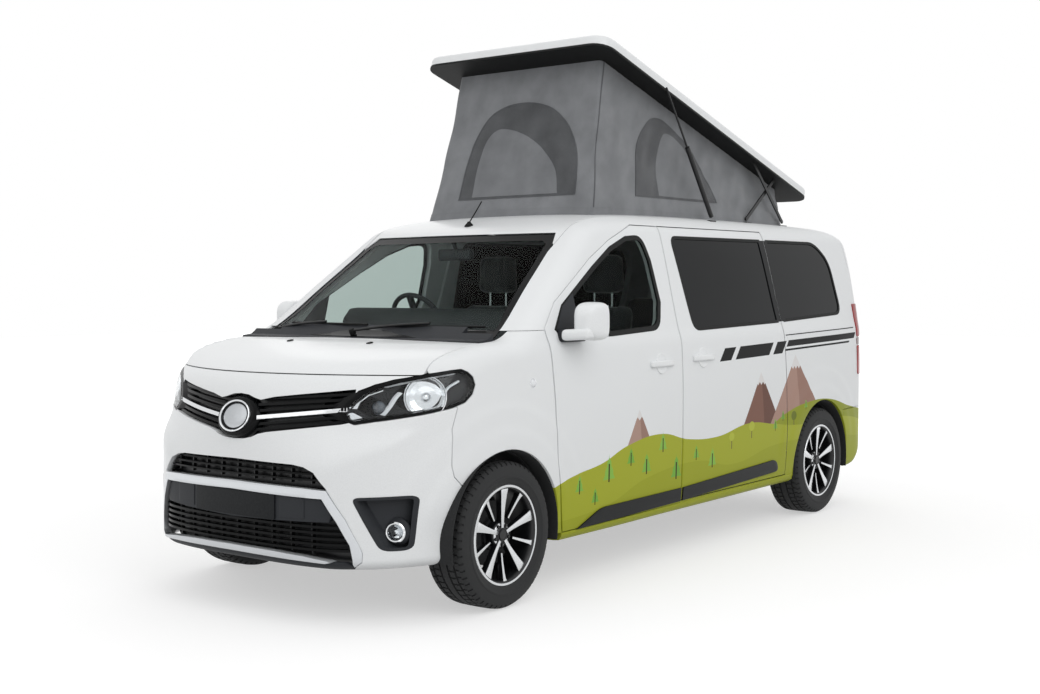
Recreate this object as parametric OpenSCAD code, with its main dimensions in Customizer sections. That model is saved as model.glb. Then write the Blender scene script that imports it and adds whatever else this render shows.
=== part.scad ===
// Compact camper van with a raising roof: a monocoque body with hinged, sliding
// and lifting doors, a front axle that steers, a trailing rear axle, a fitted
// cabin, and a roof shell on folding arms over a canvas tent.
// Millimetres. +X forward, +Y to the vehicle's left, +Z up, ground at z = 0,
// and the middle of the overall length at x = 0. Shapes are drawn from the
// front axle line and moved by front_axle_x.

/* [Overall] */
// Distance between the axles
wheelbase = 3275; // [2700:5:4000]
// Front axle to the foremost point of the bumper
front_overhang = 840; // [780:5:1020]
// Rear axle to the rearmost point of the bumper
rear_overhang = 815; // [760:5:1100]
// Width over the body sides, without the mirrors
body_w = 1920; // [1760:5:2300]
// Height of the fixed roof above the ground
roof_h = 1900; // [1860:5:2280]

/* [Body] */
// Height of the lower edge of the sills
sill_h = 232; // [180:1:260]
// Height of the top of the load floor
floor_h = 430; // [400:1:470]
// Thickness of a door
door_t = 46; // [36:1:56]
// Thickness of the whole body wall, door rebate included
wall_t = 62; // [60:1:72]
// Thickness of the roof skin with its bows and headlining
roof_t = 30; // [20:1:40]
// Shut gap between neighbouring panels
panel_gap = 5; // [4:0.5:7]
// Thickness of the window glass
glass_t = 5; // [4:0.5:6]
// Width of the flange that a door closes on
flange_w = 24; // [18:1:30]

/* [Wheels] */
// Outside radius of the tyres
tyre_r = 338; // [300:1:345]
// Width of the tyres
tyre_w = 225; // [185:1:245]
// Radius of the rim where the tyre sits
rim_r = 216; // [190:1:230]
// Distance between the middles of the two wheels on an axle
track = 1640; // [1560:5:1660]
// Radius of the wheel arch in the body side
arch_r = 392; // [380:1:410]

/* [Raising roof] */
// Length of the roof shell
shell_l = 2570; // [2300:5:2700]
// Width of the roof shell
shell_w = 1280; // [1220:5:1300]
// Depth of the roof shell from its crown to its edge
shell_depth = 92; // [80:1:110]
// Slope of the raised roof shell
shell_slope = 16.3; // [12:0.1:18]
// Length of the main folding arm between its two pins
arm_l = 556; // [540:1:570]

/* [Hidden] */
$fn = 48;

seat = 0.3;                       // clearance between a piece and what it rests on
side_w = body_w / 2;
total_l = front_overhang + wheelbase + rear_overhang;
front_axle_x = total_l / 2 - front_overhang;
rear_axle_x = -wheelbase;         // from the front axle line
nose_x = front_overhang;
tail_x = -wheelbase - rear_overhang;
axle_h = tyre_r;
waist_h = 1165;
screen_foot_y = side_w - 192;
screen_head_y = side_w - 326;
screen_foot = [-18, 1232];
screen_head = [-759, roof_h - 158];
roof_split_y = side_w - 300;      // seam between the roof panel and the body sides
rail_h = roof_h - 108;            // top of the door openings

// side view of the whole body, counter-clockwise from the lower front lip
side_profile = [
    [nose_x - 130, sill_h], [nose_x - 25, sill_h + 60], [nose_x, sill_h + 190],
    [nose_x - 6, 600], [nose_x - 35, 800], [nose_x - 75, 960], [nose_x - 120, 1055],
    [nose_x - 220, 1120], [450, 1166], [200, 1206], screen_foot, screen_head,
    [-850, roof_h - 110], [-1050, roof_h - 55], [-1400, roof_h - 20], [-2000, roof_h],
    [rear_axle_x + 475, roof_h - 3], [rear_axle_x - 225, roof_h - 25],
    [tail_x + 240, roof_h - 55], [tail_x + 120, roof_h - 100], [tail_x + 72, roof_h - 180],
    [tail_x + 75, 1400], [tail_x + 85, 1100], [tail_x + 80, 640], [tail_x + 8, 600],
    [tail_x, 520], [tail_x + 10, 400], [tail_x + 130, 300], [tail_x + 330, sill_h]];

// cross section of the body, right half; the left half is its mirror image
half_section = [
    [side_w - 60, sill_h], [side_w - 22, sill_h + 98], [side_w - 8, 480], [side_w, 700],
    [side_w - 4, 900], [side_w - 16, 1050], [side_w - 30, waist_h], [side_w - 60, 1240],
    [side_w - 200, roof_h - 150], [side_w - 240, roof_h - 90], [shell_w / 2 + 20, roof_h - 48],
    [shell_w / 2 - 100, roof_h - 24], [shell_w / 2 - 320, roof_h - 6]];
cross_section = concat(half_section, mirrored(half_section));

// plan view of the body, left half
half_plan = [
    [tail_x, 330], [tail_x + 20, side_w - 360], [tail_x + 62, side_w - 165],
    [tail_x + 165, side_w - 55], [rear_axle_x - 480, side_w - 20], [rear_axle_x - 200, side_w],
    [-500, side_w], [-200, side_w - 7], [100, side_w - 25], [320, side_w - 70],
    [nose_x - 370, side_w - 140], [nose_x - 220, side_w - 240], [nose_x - 100, side_w - 390],
    [nose_x - 50, side_w - 540], [nose_x - 15, 250], [nose_x, 90]];
body_plan = concat(half_plan, [for (i = [len(half_plan) - 1:-1:0]) [half_plan[i].x, -half_plan[i].y]]);

function mirrored(points) = [for (i = [len(points) - 1:-1:0]) [-points[i].x, points[i].y]];

// side views of the panels that part the body side
front_door = [
    [-436, sill_h + 55], [-380, 620], [-368, 950], [-350, 1200], [-340, 1270], [-467, 1392],
    [-850, roof_h - 290], [-1240, rail_h - 25], [-1320, rail_h], [-1585, rail_h],
    [-1545, 1250], [-1530, 750], [-1526, sill_h + 55]];
front_window = [
    [-425, 1262], [-480, 1215], [-1300, 1240], [-1400, 1290], [-1425, 1420],
    [-1400, rail_h - 66], [-1225, rail_h - 70], [-850, roof_h - 338], [-520, 1374]];
sliding_front = [-1592, -1552, -1537, -1533];       // front edge, from the top down
sliding_rear_x = rear_axle_x + 510;
sliding_door = [
    [sliding_front[3], sill_h + 70], [sliding_front[2], 750], [sliding_front[1], 1250],
    [sliding_front[0], rail_h], [sliding_rear_x - 25, rail_h], [sliding_rear_x, 1140],
    [sliding_rear_x - 10, 640], [sliding_rear_x - 10, sill_h + 70]];
sliding_window = [
    [-1720, 1235], [-1690, rail_h - 60], [sliding_rear_x + 30, rail_h - 55],
    [sliding_rear_x + 35, 1255]];
quarter_window = [
    [sliding_rear_x - 40, 1258], [sliding_rear_x - 50, rail_h - 55],
    [rear_axle_x - 180, rail_h - 58], [rear_axle_x - 300, rail_h - 110],
    [rear_axle_x - 365, 1560], [rear_axle_x - 345, 1310]];
headlight_side = [
    [150, 1046], [225, 1096], [430, 1058], [nose_x - 210, 1000], [nose_x - 90, 905],
    [nose_x - 200, 858], [300, 932]];
bumper_seam = [[nose_x + 60, sill_h - 20], [405, sill_h - 20], [arch_r - 60, 590], [335, 800],
    [290, 925], [nose_x - 200, 852], [nose_x + 60, 852]];

// the rear edge of the front door's window frame slants inwards and forwards,
// so that it swings out past the pillar
pillar_foot = [-1545, side_w - 62, 1250];
pillar_rise = [-1586 - pillar_foot.x, -178, rail_h - 1250];
pillar_slant = [sin(22), -cos(22), 0];
pillar_normal = cross(pillar_slant, pillar_rise);

// hinges
door_hinge = [-438, side_w - 10];                  // x and y of the front door's axis
bonnet_hinge = [45, 1222];                         // x and z
bonnet_rear_x = 40;
bonnet_side_y = side_w - 160;
bonnet_front_x = nose_x - 150;
lamp_inner_y = 541;
tailgate_hinge = [tail_x + 150, roof_h - 89];      // x and z
tailgate_side_y = side_w - 150;
tailgate_foot_z = 652;
bumper_front_x = rear_axle_x - 300;
tow_r = 9;                         // screw-in towing eye: its blind socket
tow_depth = 40;
tow_mouth_x = nose_x - 72;
tow_y = -330;
tow_z = 610;
kingpin_y = track / 2 - 70;
hub_y = track / 2 - 40;            // where the hub meets the axle carrier
arch_inner_y = kingpin_y - 240;
hub_r = 34;

wheel_centre = [-880, -380, 1258];                 // steering wheel
wheel_tilt = 25;
column_l = 120;

// raised roof, in side view
edge_rear = [rear_axle_x - 417, roof_h + 124];     // lower rear corner of the shell
shell_dir = [cos(shell_slope), sin(shell_slope)];
shell_up = [-sin(shell_slope), cos(shell_slope)];
arm_pin = on_shell(768, 16);                       // main arm's pin on the shell
arm_lift = asin((arm_pin.y - roof_h + 20) / arm_l);
arm_foot = [arm_pin.x - arm_l * cos(arm_lift), roof_h - 20];
second_pin = on_shell(434, -2);
second_foot = [second_pin.x + 366, second_pin.y - 260];
strut_pin = on_shell(1957, 8);
strut_foot = [strut_pin.x - 512, strut_pin.y - 706];
strut_l = norm(strut_pin - strut_foot);
strut_lean = atan2(strut_pin.y - strut_foot.y, strut_pin.x - strut_foot.x);
skirt_t = 20;
shell_half = shell_w / 2;
arm_t = 8;
main_arm_y = shell_half - skirt_t - 17;            // outer face of the main arm
second_arm_y = main_arm_y - arm_t - 6;
tent_y = second_arm_y - arm_t - 7;
strut_y = shell_half + 22;
tent_t = 6;
aperture_front_x = -1330;
aperture_rear_x = -2450;
aperture_y = 470;

// a point of the raised shell: along it from its rear edge, and up from its lower edge
function on_shell(along, up) = [
    edge_rear.x + along * shell_dir.x + up * shell_up.x,
    edge_rear.y + along * shell_dir.y + up * shell_up.y];

// ---- building blocks ----

module in_vehicle() { translate([front_axle_x, 0, 0]) children(); }

// side: 1 is the vehicle's left, -1 its right
module on_side(side) { scale([1, side, 1]) children(); }

// a side view outline, extruded across the vehicle from y0 to y1
module side_prism(outline, y0, y1, grow = 0) {
    translate([0, y1, 0]) rotate([90, 0, 0]) linear_extrude(y1 - y0)
        offset(delta = grow) polygon(outline);
}

// everything on the far side of a plane through a point, along its normal
module half_space(point, normal) {
    translate(point) rotate([0, acos(normal.z / norm(normal)), atan2(normal.y, normal.x)])
        translate([-900, -900, 0]) cube([1800, 1800, 900]);
}

// a box from its lowest to its highest corner
module box(low, high) { translate(low) cube(high - low); }

// the body's outer form, moved inwards by depth
module body_form(depth) {
    intersection() {
        side_prism(side_profile, -side_w - 50, side_w + 50, -depth);
        translate([tail_x - 50, 0, 0]) rotate([90, 0, 90]) linear_extrude(total_l + 100)
            offset(delta = -depth) polygon(cross_section);
        linear_extrude(roof_h + 100) offset(delta = -depth) polygon(body_plan);
    }
}

module body_skin(from_depth, to_depth) {
    difference() {
        body_form(from_depth);
        body_form(to_depth);
    }
}

module wheel_at(x, side) {
    translate([x, side * track / 2, axle_h]) rotate([-90 * side, 0, 0]) children();
}

module arch_cut(x, side, extra = 0) {
    translate([x, side * (side_w + 60), axle_h]) rotate([90 * side, 0, 0])
        cylinder(r = arch_r + extra, h = side_w + 60 - arch_inner_y, $fn = 64);
}

// ---- body ----

module floor_pan() {
    color([0.13, 0.13, 0.14]) difference() {
        intersection() {
            body_form(wall_t + seat);
            box([tail_x + 190, -side_w, floor_h - 50], [-300, side_w, floor_h]);
        }
        for (side = [-1, 1]) {
            arch_cut(rear_axle_x, side);
            arch_cut(0, side);
        }
    }
}

module body_side(side) {
    color([0.93, 0.93, 0.92]) on_side(side) difference() {
        union() {
            difference() {
                intersection() {
                    body_skin(0, wall_t);
                    union() {
                        box([tail_x + 161, roof_split_y, 0], [-431, side_w + 9, 1262]);
                        box([tail_x + 161, roof_split_y, 1262], [-345, side_w + 9, roof_h + 9]);
                        box([tail_x - 9, tailgate_side_y + panel_gap, tailgate_foot_z],
                            [tail_x + 170, side_w + 9, roof_h + 9]);
                        side_prism([[-346, 1266], [-120, 1201], [-60, 1201], [-60, roof_h], [-346, roof_h]],
                            roof_split_y - 40, side_w + 9);
                    }
                }
                door_openings(panel_gap);
                screen_prism(seat);
            }
            difference() {
                intersection() {
                    body_skin(door_t + seat, wall_t);
                    union() {
                        intersection() {
                            door_openings(panel_gap + 2);
                            box([-1700, 0, 0], [-700, side_w, roof_h]);
                        }
                        side_prism(sliding_door, side_w - 460, side_w + 9, panel_gap + 2);
                    }
                    box([tail_x, roof_split_y, 0], [0, side_w, roof_h]);
                }
                door_openings(-flange_w);
            }
        }
        side_prism(quarter_window, side_w - 460, side_w + 9);
        arch_cut(rear_axle_x, 1);
        tail_light_block(1);
        box([tail_x - 9, 0, 0], [bumper_front_x, side_w + 9, tailgate_foot_z - 5]);
    }
}

// both door outlines, grown by a clearance
module door_openings(grow) {
    side_prism(front_door, side_w - 460, side_w + 9, grow);
    side_prism(sliding_door, side_w - 460, side_w + 9, grow);
}

// front view of the windscreen, from side to side
module screen_prism(grow) {
    translate([-790 - grow, 0, 0]) rotate([90, 0, 90]) linear_extrude(900) offset(delta = grow)
        polygon([[-screen_foot_y, 1180], [screen_foot_y, 1180],
            [screen_head_y, roof_h - 180], [-screen_head_y, roof_h - 180],]);
}

module roof_panel() {
    color([0.93, 0.93, 0.92]) difference() {
        intersection() {
            body_skin(0, roof_t);
            box([tail_x + 160, -roof_split_y, roof_h - 150], [-775, roof_split_y, roof_h + 9]);
        }
        box([aperture_rear_x, -aperture_y, roof_h - 150], [aperture_front_x, aperture_y, roof_h + 9]);
    }
    color([0.93, 0.93, 0.92]) for (y = [-510, 450])
        box([tail_x + 155.5, y, tailgate_hinge.y - 10], [tail_x + 175, y + 60, tailgate_hinge.y]);
    color([0.05, 0.05, 0.055]) for (side = [-1, 1]) on_side(side) {
        bracket(arm_foot, main_arm_y + seat);
        bracket(second_foot, second_arm_y + seat);
        bracket(strut_foot, strut_y - 14 - seat - 5);
    }
}

// plate that stands on the fixed roof beside a pivot
module bracket(pivot, y) {
    box([pivot.x - 14, y, roof_h - 60], [pivot.x + 14, y + 5, pivot.y + 12]);
}

module front_wing(side) {
    color([0.93, 0.93, 0.92]) on_side(side) difference() {
        intersection() {
            body_skin(0, 40);
            side_prism([[-430, sill_h], [-374, 620], [-362, 950], [-344, 1196], [-334, 1262],
                [-120, 1200], [-55, 1200], [-55, 1240], [bonnet_front_x, 1240], [bonnet_front_x, sill_h]],
                bonnet_side_y + panel_gap, side_w + 9);
        }
        side_prism(headlight_side, lamp_inner_y - seat, side_w + 9, seat);
        side_prism(bumper_seam, 0, side_w + 9, 1);
        arch_cut(0, 1);
    }
}

// bulkhead between the engine and the cab, with the air intake panel on top
module cowl_panel() {
    color([0.07, 0.07, 0.075]) intersection() {
        body_form(2 + glass_t + seat);
        difference() {
            union() {
                intersection() {
                    body_form(wall_t);
                    box([-330, -side_w, floor_h + seat], [-290, side_w, 1150]);
                }
                box([-330, -700, 1110], [-60, 700, 1150]);
                box([-100, -screen_foot_y + 10, 1110], [-59, screen_foot_y - 10, 1200]);
                box([-100, -roof_split_y + 41, 1110], [-59, roof_split_y - 41, 1300]);
                box([-59, -bonnet_side_y - panel_gap + 1, 1110],
                    [bonnet_rear_x - 0.8, bonnet_side_y + panel_gap - 1, 1300]);
            }
            for (side = [-1, 1]) arch_cut(0, side);
        }
    }
}

module front_bumper() {
    color([0.93, 0.93, 0.92]) difference() {
        union() {
            intersection() {
                body_skin(0, 55);
                side_prism(bumper_seam, -side_w - 9, side_w + 9);
            }
            translate([tow_mouth_x - tow_depth - 12, tow_y, tow_z]) rotate([0, 90, 0])
                cylinder(r = tow_r + 11, h = tow_depth + 12);
        }
        translate([tow_mouth_x - tow_depth, tow_y, tow_z]) rotate([0, 90, 0])
            cylinder(r = tow_r, h = tow_depth + 9);
        translate([tow_mouth_x, tow_y, tow_z]) rotate([0, 90, 0])
            cylinder(r = tow_r + 15, h = 90);
        for (side = [-1, 1]) arch_cut(0, side);
        box([nose_x - 200, -500, 655], [nose_x + 20, 500, 720]);
        box([nose_x - 200, -520, 300], [nose_x + 20, 520, 430]);
        box([nose_x - 200, -560, 780], [nose_x + 20, 560, 870]);
    }
}

module rear_bumper() {
    color([0.93, 0.93, 0.92]) difference() {
        intersection() {
            body_skin(0, wall_t);
            box([tail_x - 9, -side_w - 9, sill_h - 9], [bumper_front_x - 1, side_w + 9, tailgate_foot_z - 6]);
        }
        for (side = [-1, 1]) arch_cut(rear_axle_x, side);
    }
}

// upper grille between the lamps, slot grille and lower grille in the bumper
module front_grille() {
    color([0.05, 0.05, 0.055]) intersection() {
        body_form(12);
        union() {
            box([nose_x - 190, -540, 852 + seat], [nose_x, 540, 985]);
            box([nose_x - 150, -540, 780 + seat], [nose_x, 540, 852 + 2 * seat]);
            box([nose_x - 150, -500 + seat, 655 + seat], [nose_x, 500 - seat, 720 - seat]);
            box([nose_x - 150, -520 + seat, 300 + seat], [nose_x, 520 - seat, 430 - seat]);
            box([nose_x - 150, -200, 312], [nose_x - 120, 200, 860]);
        }
    }
}

module headlights() {
    color([0.75, 0.77, 0.8]) for (side = [-1, 1]) on_side(side) intersection() {
        body_skin(1, 110);
        side_prism(headlight_side, lamp_inner_y, side_w + 9, -seat);
    }
}

module tail_light_block(side) {
    on_side(side) box([tail_x - 9, tailgate_side_y + panel_gap, 860], [tail_x + 240, side_w + 9, 1330]);
}

module tail_lights() {
    color([0.6, 0.04, 0.04]) for (side = [-1, 1]) intersection() {
        body_skin(1, 60);
        on_side(side) box([tail_x - 9, tailgate_side_y + panel_gap + seat, 860 + seat],
            [tail_x + 240 - seat, side_w + 9, 1330 - seat]);
    }
}

module windscreen() {
    color([0.4, 0.45, 0.46, 0.5]) intersection() {
        body_skin(2, 2 + glass_t);
        side_prism([[5, 1196], [5, 1262], [-700, roof_h - 100], [-775, roof_h - 140],
            [-775, roof_h - 190], [-60, 1190]], -side_w + 190, side_w - 190);
        screen_prism(0);
    }
}

module side_glass() {
    color([0.06, 0.07, 0.08, 0.8]) for (side = [-1, 1]) on_side(side) intersection() {
        body_skin(4, 4 + glass_t);
        union() {
            side_prism(sliding_window, side_w - 460, side_w + 9, -seat);
            side_prism(quarter_window, side_w - 460, side_w + 9, -seat);
        }
    }
}

module sliding_door_panel(side) {
    color([0.93, 0.93, 0.92]) on_side(side) difference() {
        intersection() {
            body_skin(0, door_t);
            side_prism(sliding_door, side_w - 460, side_w + 9);
        }
        side_prism(sliding_window, side_w - 460, side_w + 9);
    }
}

module wheel_arch_liners() {
    color([0.04, 0.04, 0.045]) for (side = [-1, 1], x = [0, rear_axle_x]) on_side(side) difference() {
        translate([x, side_w - 110, axle_h]) rotate([90, 0, 0])
            cylinder(r = arch_r - seat, h = side_w - 110 - arch_inner_y, $fn = 64);
        translate([x, side_w - 100, axle_h]) rotate([90, 0, 0])
            cylinder(r = arch_r - 12, h = side_w - 110 - arch_inner_y + (x == 0 ? 40 : -4), $fn = 64);
        box([x - 500, 0, -200], [x + 500, side_w, floor_h - 40]);
    }
}

// ---- cabin ----

module dashboard() {
    color([0.06, 0.06, 0.065]) intersection() {
        body_form(wall_t + 60);
        side_prism([[-330.3, 1150], [-330.3, 700], [-450, 690], [-660, 900], [-700, 1150], [-620, 1262],
            [-520, 1225], [-330.3, 1190]], -side_w, side_w);
    }
    color([0.06, 0.06, 0.065]) translate(wheel_centre) rotate([0, 90 + wheel_tilt, 0])
        translate([0, 0, column_l + seat]) cylinder(r = 40, h = 130);
}

module front_seats() {
    color([0.1, 0.1, 0.11]) for (side = [-1, 1]) on_side(side) {
        box([-1400, 190, floor_h + seat], [-960, 570, 700]);
        box([-1420, 170, 700 + seat], [-930, 590, 860]);
        side_prism([[-1300, 860 + 2 * seat], [-1420, 860 + 2 * seat], [-1550, 1450], [-1440, 1450]], 170, 590);
        side_prism([[-1455, 1450 + seat], [-1545, 1450 + seat], [-1590, 1660], [-1510, 1660]], 250, 510);
    }
}

module rear_bench() {
    color([0.12, 0.12, 0.13]) {
        box([-3100, -380, floor_h + seat], [-2560, 460, 640]);
        box([-3100, -400, 640 + seat], [-2520, 480, 790]);
        side_prism([[-2980, 790 + 2 * seat], [-3110, 790 + 2 * seat], [-3230, 1420], [-3110, 1420]], -400, 480);
    }
}

module kitchen_unit() {
    color([0.55, 0.55, 0.53]) box([-2840, -side_w + 140, floor_h + seat], [-1750, -side_w + 520, 1180]);
}

// ---- below the floor ----

module engine_block() {
    color([0.3, 0.3, 0.31]) box([-200, -330, 330 + seat], [330, 330, 980]);
}

module fuel_tank() {
    color([0.05, 0.05, 0.055]) box([-2350, -150, 230], [-1500, 480, floor_h - 50 - seat]);
}

module exhaust() {
    color([0.45, 0.44, 0.42]) union() {
        translate([-262, -330, 310]) rotate([0, -90, 0]) cylinder(r = 28, h = 2250);
        translate([-2500, -330, 310]) rotate([0, -90, 0]) cylinder(r = 69.6, h = 420);
        translate([-2900, -330, 310]) rotate([0, -90, 0]) cylinder(r = 28, h = 240);
    }
}

module front_subframe() {
    color([0.08, 0.08, 0.085]) {
        box([-260, -420, 250], [260, 420, 330]);
        for (side = [-1, 1]) {
            on_side(side) box([-60, 380, 262], [60, kingpin_y - 26 - seat, 300]);
            on_side(side) box([-400, 380, 320], [-160, 470, floor_h - 50 - seat]);
        }
    }
}

module rear_axle() {
    color([0.08, 0.08, 0.085]) {
        box([rear_axle_x - 60, -560, axle_h - 60], [rear_axle_x + 60, 560, axle_h + 20]);
        for (side = [-1, 1]) on_side(side) {
            box([rear_axle_x - 40, 520, axle_h - 50], [rear_axle_x + 520, 580, floor_h - 50 - seat]);
            translate([rear_axle_x, hub_y, axle_h]) rotate([90, 0, 0])
                cylinder(r = hub_r, h = hub_y - 560 + 20);
        }
    }
}

// ---- moving panels ----

module bonnet() {
    color([0.93, 0.93, 0.92]) intersection() {
        body_skin(0, 30);
        difference() {
            box([bonnet_rear_x, -bonnet_side_y, 990], [bonnet_front_x, bonnet_side_y, 1300]);
            for (side = [-1, 1]) on_side(side)
                side_prism(headlight_side, lamp_inner_y - panel_gap, side_w + 9, panel_gap);
        }
    }
}

module front_door_panel(side) {
    color([0.93, 0.93, 0.92]) on_side(side) difference() {
        intersection() {
            body_skin(0, door_t);
            side_prism(front_door, side_w - 460, side_w + 9);
        }
        side_prism(front_window, side_w - 460, side_w + 9);
        intersection() {
            half_space(pillar_foot, pillar_normal);
            box([-1800, 0, pillar_foot.z], [-1300, side_w, roof_h]);
        }
    }
}

module front_door_glass(side) {
    color([0.35, 0.38, 0.38, 0.5]) on_side(side) intersection() {
        body_skin(4, 4 + glass_t);
        side_prism(front_window, side_w - 460, side_w + 9, -seat);
    }
}

module door_mirror(side) {
    color([0.93, 0.93, 0.92]) on_side(side) difference() {
        union() {
            hull() {
                translate([-480, side_w + 40, 1290]) sphere(r = 60, $fn = 24);
                translate([-560, side_w + 90, 1300]) sphere(r = 60, $fn = 24);
                translate([-500, side_w + 80, 1350]) sphere(r = 50, $fn = 24);
            }
            box([-540, side_w - 80, 1190], [-430, side_w + 40, 1240]);
        }
        body_form(-seat);
    }
}

module tailgate() {
    color([0.93, 0.93, 0.92]) difference() {
        intersection() {
            body_skin(0, wall_t);
            box([tail_x - 9, -tailgate_side_y, tailgate_foot_z], [tail_x + 155, tailgate_side_y, roof_h + 9]);
        }
        box([tail_x - 9, -tailgate_side_y + 100, 1230], [tail_x + 230, tailgate_side_y - 100, roof_h - 175]);
    }
}

module tailgate_glass() {
    color([0.06, 0.07, 0.08, 0.8]) intersection() {
        body_skin(4, 4 + glass_t);
        box([tail_x - 9, -tailgate_side_y + 100 + seat, 1230 + seat],
            [tail_x + 230, tailgate_side_y - 100 - seat, roof_h - 175 - seat]);
    }
}

// ---- steering and wheels ----

module steering_wheel() {
    color([0.05, 0.05, 0.055]) translate(wheel_centre) rotate([0, 90 + wheel_tilt, 0]) {
        rotate_extrude($fn = 64) translate([175, 0]) circle(r = 14);
        cylinder(r = 60, h = 40, center = true);
        for (turn = [0, 120, 240]) rotate([0, 0, turn + 180]) box([50, -15, -8], [168, 15, 8]);
        cylinder(r = 18, h = column_l);
    }
}

module knuckle(side) {
    color([0.2, 0.2, 0.21]) on_side(side) {
        translate([0, kingpin_y, axle_h - 80]) cylinder(r = 26, h = 260);
        translate([0, hub_y, axle_h]) rotate([90, 0, 0])
            cylinder(r = hub_r, h = hub_y - kingpin_y + 20);
    }
}

module tyre() {
    color([0.05, 0.05, 0.05]) rotate_extrude($fn = 96) polygon([
        [rim_r + seat, -tyre_w / 2 + 12], [rim_r + 30, -tyre_w / 2], [tyre_r - 40, -tyre_w / 2 + 4],
        [tyre_r - 10, -tyre_w / 2 + 14], [tyre_r, -tyre_w / 2 + 30], [tyre_r, tyre_w / 2 - 30],
        [tyre_r - 10, tyre_w / 2 - 14], [tyre_r - 40, tyre_w / 2 - 4], [rim_r + 30, tyre_w / 2],
        [rim_r + seat, tyre_w / 2 - 12]]);
}

module rim() {
    color([0.7, 0.71, 0.73]) {
        rotate_extrude($fn = 96) polygon([
            [rim_r - 14, -tyre_w / 2 + 12], [rim_r, -tyre_w / 2 + 12], [rim_r, tyre_w / 2 - 12],
            [rim_r - 14, tyre_w / 2 - 12]]);
        translate([0, 0, tyre_w / 2 - 60]) cylinder(r = 75, h = 34);
        for (spoke = [0:4]) rotate([0, 0, spoke * 72])
            box([60, -38, tyre_w / 2 - 56], [rim_r - 8, 38, tyre_w / 2 - 30]);
        translate([0, 0, hub_y - track / 2 + seat]) cylinder(r = hub_r + 10, h = tyre_w / 2 - 15);
    }
}

// ---- raising roof ----

module shell_place() {
    translate([edge_rear.x, 0, edge_rear.y]) rotate([0, -shell_slope, 0]) children();
}

module roof_shell() {
    color([0.94, 0.94, 0.94]) shell_place() difference() {
        intersection() {
            rotate([90, 0, 0]) linear_extrude(shell_w + 20, center = true) polygon([
                [0, 0], [shell_l, 0], [shell_l - 30, 50], [shell_l - 170, shell_depth - 8],
                [shell_l - 700, shell_depth], [500, shell_depth], [60, shell_depth - 14], [8, 60]]);
            rotate([90, 0, 90]) linear_extrude(shell_l) polygon([
                [-shell_half, 0], [shell_half, 0], [shell_half - 12, 50], [shell_half - 70, shell_depth - 18],
                [shell_half - 250, shell_depth], [-shell_half + 250, shell_depth],
                [-shell_half + 70, shell_depth - 18], [-shell_half + 12, 50]]);
            linear_extrude(shell_depth + 9) offset(r = 60) square_between(
                [60, -shell_half + 60], [shell_l - 60, shell_half - 60]);
        }
        box([skirt_t, -shell_half + skirt_t, -9], [shell_l - skirt_t, shell_half - skirt_t, 44]);
    }
}

module square_between(low, high) { translate(low) square(high - low); }

tent_front_foot = [-1191, roof_h - 58];
tent_rear_foot = [rear_axle_x - 147, roof_h - 20];
module tent_canvas() {
    color([0.55, 0.56, 0.57]) difference() {
        side_prism([tent_front_foot, tent_head_front(), tent_head_rear(), tent_rear_foot], -tent_y, tent_y);
        side_prism([tent_front_foot, tent_head_front(), tent_head_rear(), tent_rear_foot],
            -tent_y + tent_t, tent_y - tent_t, -tent_t);
        body_form(-seat);
    }
}
function tent_head_front() = on_shell(shell_l - 150, 44 - seat);
function tent_head_rear() = on_shell(190, 44 - seat);

// a flat bar between two points of a side view, with round ends
module flat_bar(from, to, width, y0, y1) {
    translate([0, y1, 0]) rotate([90, 0, 0]) linear_extrude(y1 - y0) union() {
        for (end = [from, to]) translate(end) circle(d = width, $fn = 32);
        translate(from) rotate(atan2(to.y - from.y, to.x - from.x)) translate([0, 1 - width / 2])
            square([norm(to - from), width - 2]);
    }
}

module roof_arms_main() {
    color([0.04, 0.04, 0.045]) for (side = [-1, 1]) on_side(side)
        union() {
            flat_bar(arm_foot, arm_pin, 24, main_arm_y - arm_t, main_arm_y);
            box([arm_pin.x - 6, main_arm_y - arm_t / 2, arm_pin.y - 6],
                [arm_pin.x + 6, shell_half - skirt_t - seat, arm_pin.y + 6]);
        }
}

module roof_arms_second() {
    color([0.04, 0.04, 0.045]) for (side = [-1, 1]) on_side(side)
        flat_bar(second_foot, second_pin, 24, second_arm_y - arm_t, second_arm_y);
}

module strut_tubes() {
    color([0.03, 0.03, 0.035]) for (side = [-1, 1])
        translate([strut_foot.x, side * strut_y, strut_foot.y]) rotate([0, 90 - strut_lean, 0])
            difference() {
                cylinder(r = 14, h = strut_l * 0.55);
                translate([0, 0, 40]) cylinder(r = 6.5, h = strut_l);
            }
}

module strut_rods() {
    color([0.3, 0.3, 0.32]) for (side = [-1, 1])
        translate([strut_foot.x, side * strut_y, strut_foot.y]) rotate([0, 90 - strut_lean, 0])
            translate([0, 0, strut_l * 0.45]) cylinder(r = 6, h = strut_l * 0.55);
}

in_vehicle() floor_pan();
in_vehicle() body_side(1);  // body_side_left
in_vehicle() body_side(-1);  // body_side_right
in_vehicle() roof_panel();
in_vehicle() front_wing(1);  // front_wing_left
in_vehicle() front_wing(-1);  // front_wing_right
in_vehicle() cowl_panel();
in_vehicle() front_bumper();
in_vehicle() rear_bumper();
in_vehicle() front_grille();
in_vehicle() headlights();
in_vehicle() tail_lights();
in_vehicle() windscreen();
in_vehicle() side_glass();
in_vehicle() sliding_door_panel(1);  // sliding_door_left
in_vehicle() sliding_door_panel(-1);  // sliding_door_right
in_vehicle() wheel_arch_liners();
in_vehicle() dashboard();
in_vehicle() front_seats();
in_vehicle() rear_bench();
in_vehicle() kitchen_unit();
in_vehicle() engine_block();
in_vehicle() fuel_tank();
in_vehicle() exhaust();
in_vehicle() front_subframe();
in_vehicle() rear_axle();
in_vehicle() bonnet();
in_vehicle() front_door_panel(1);  // front_door_left
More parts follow.
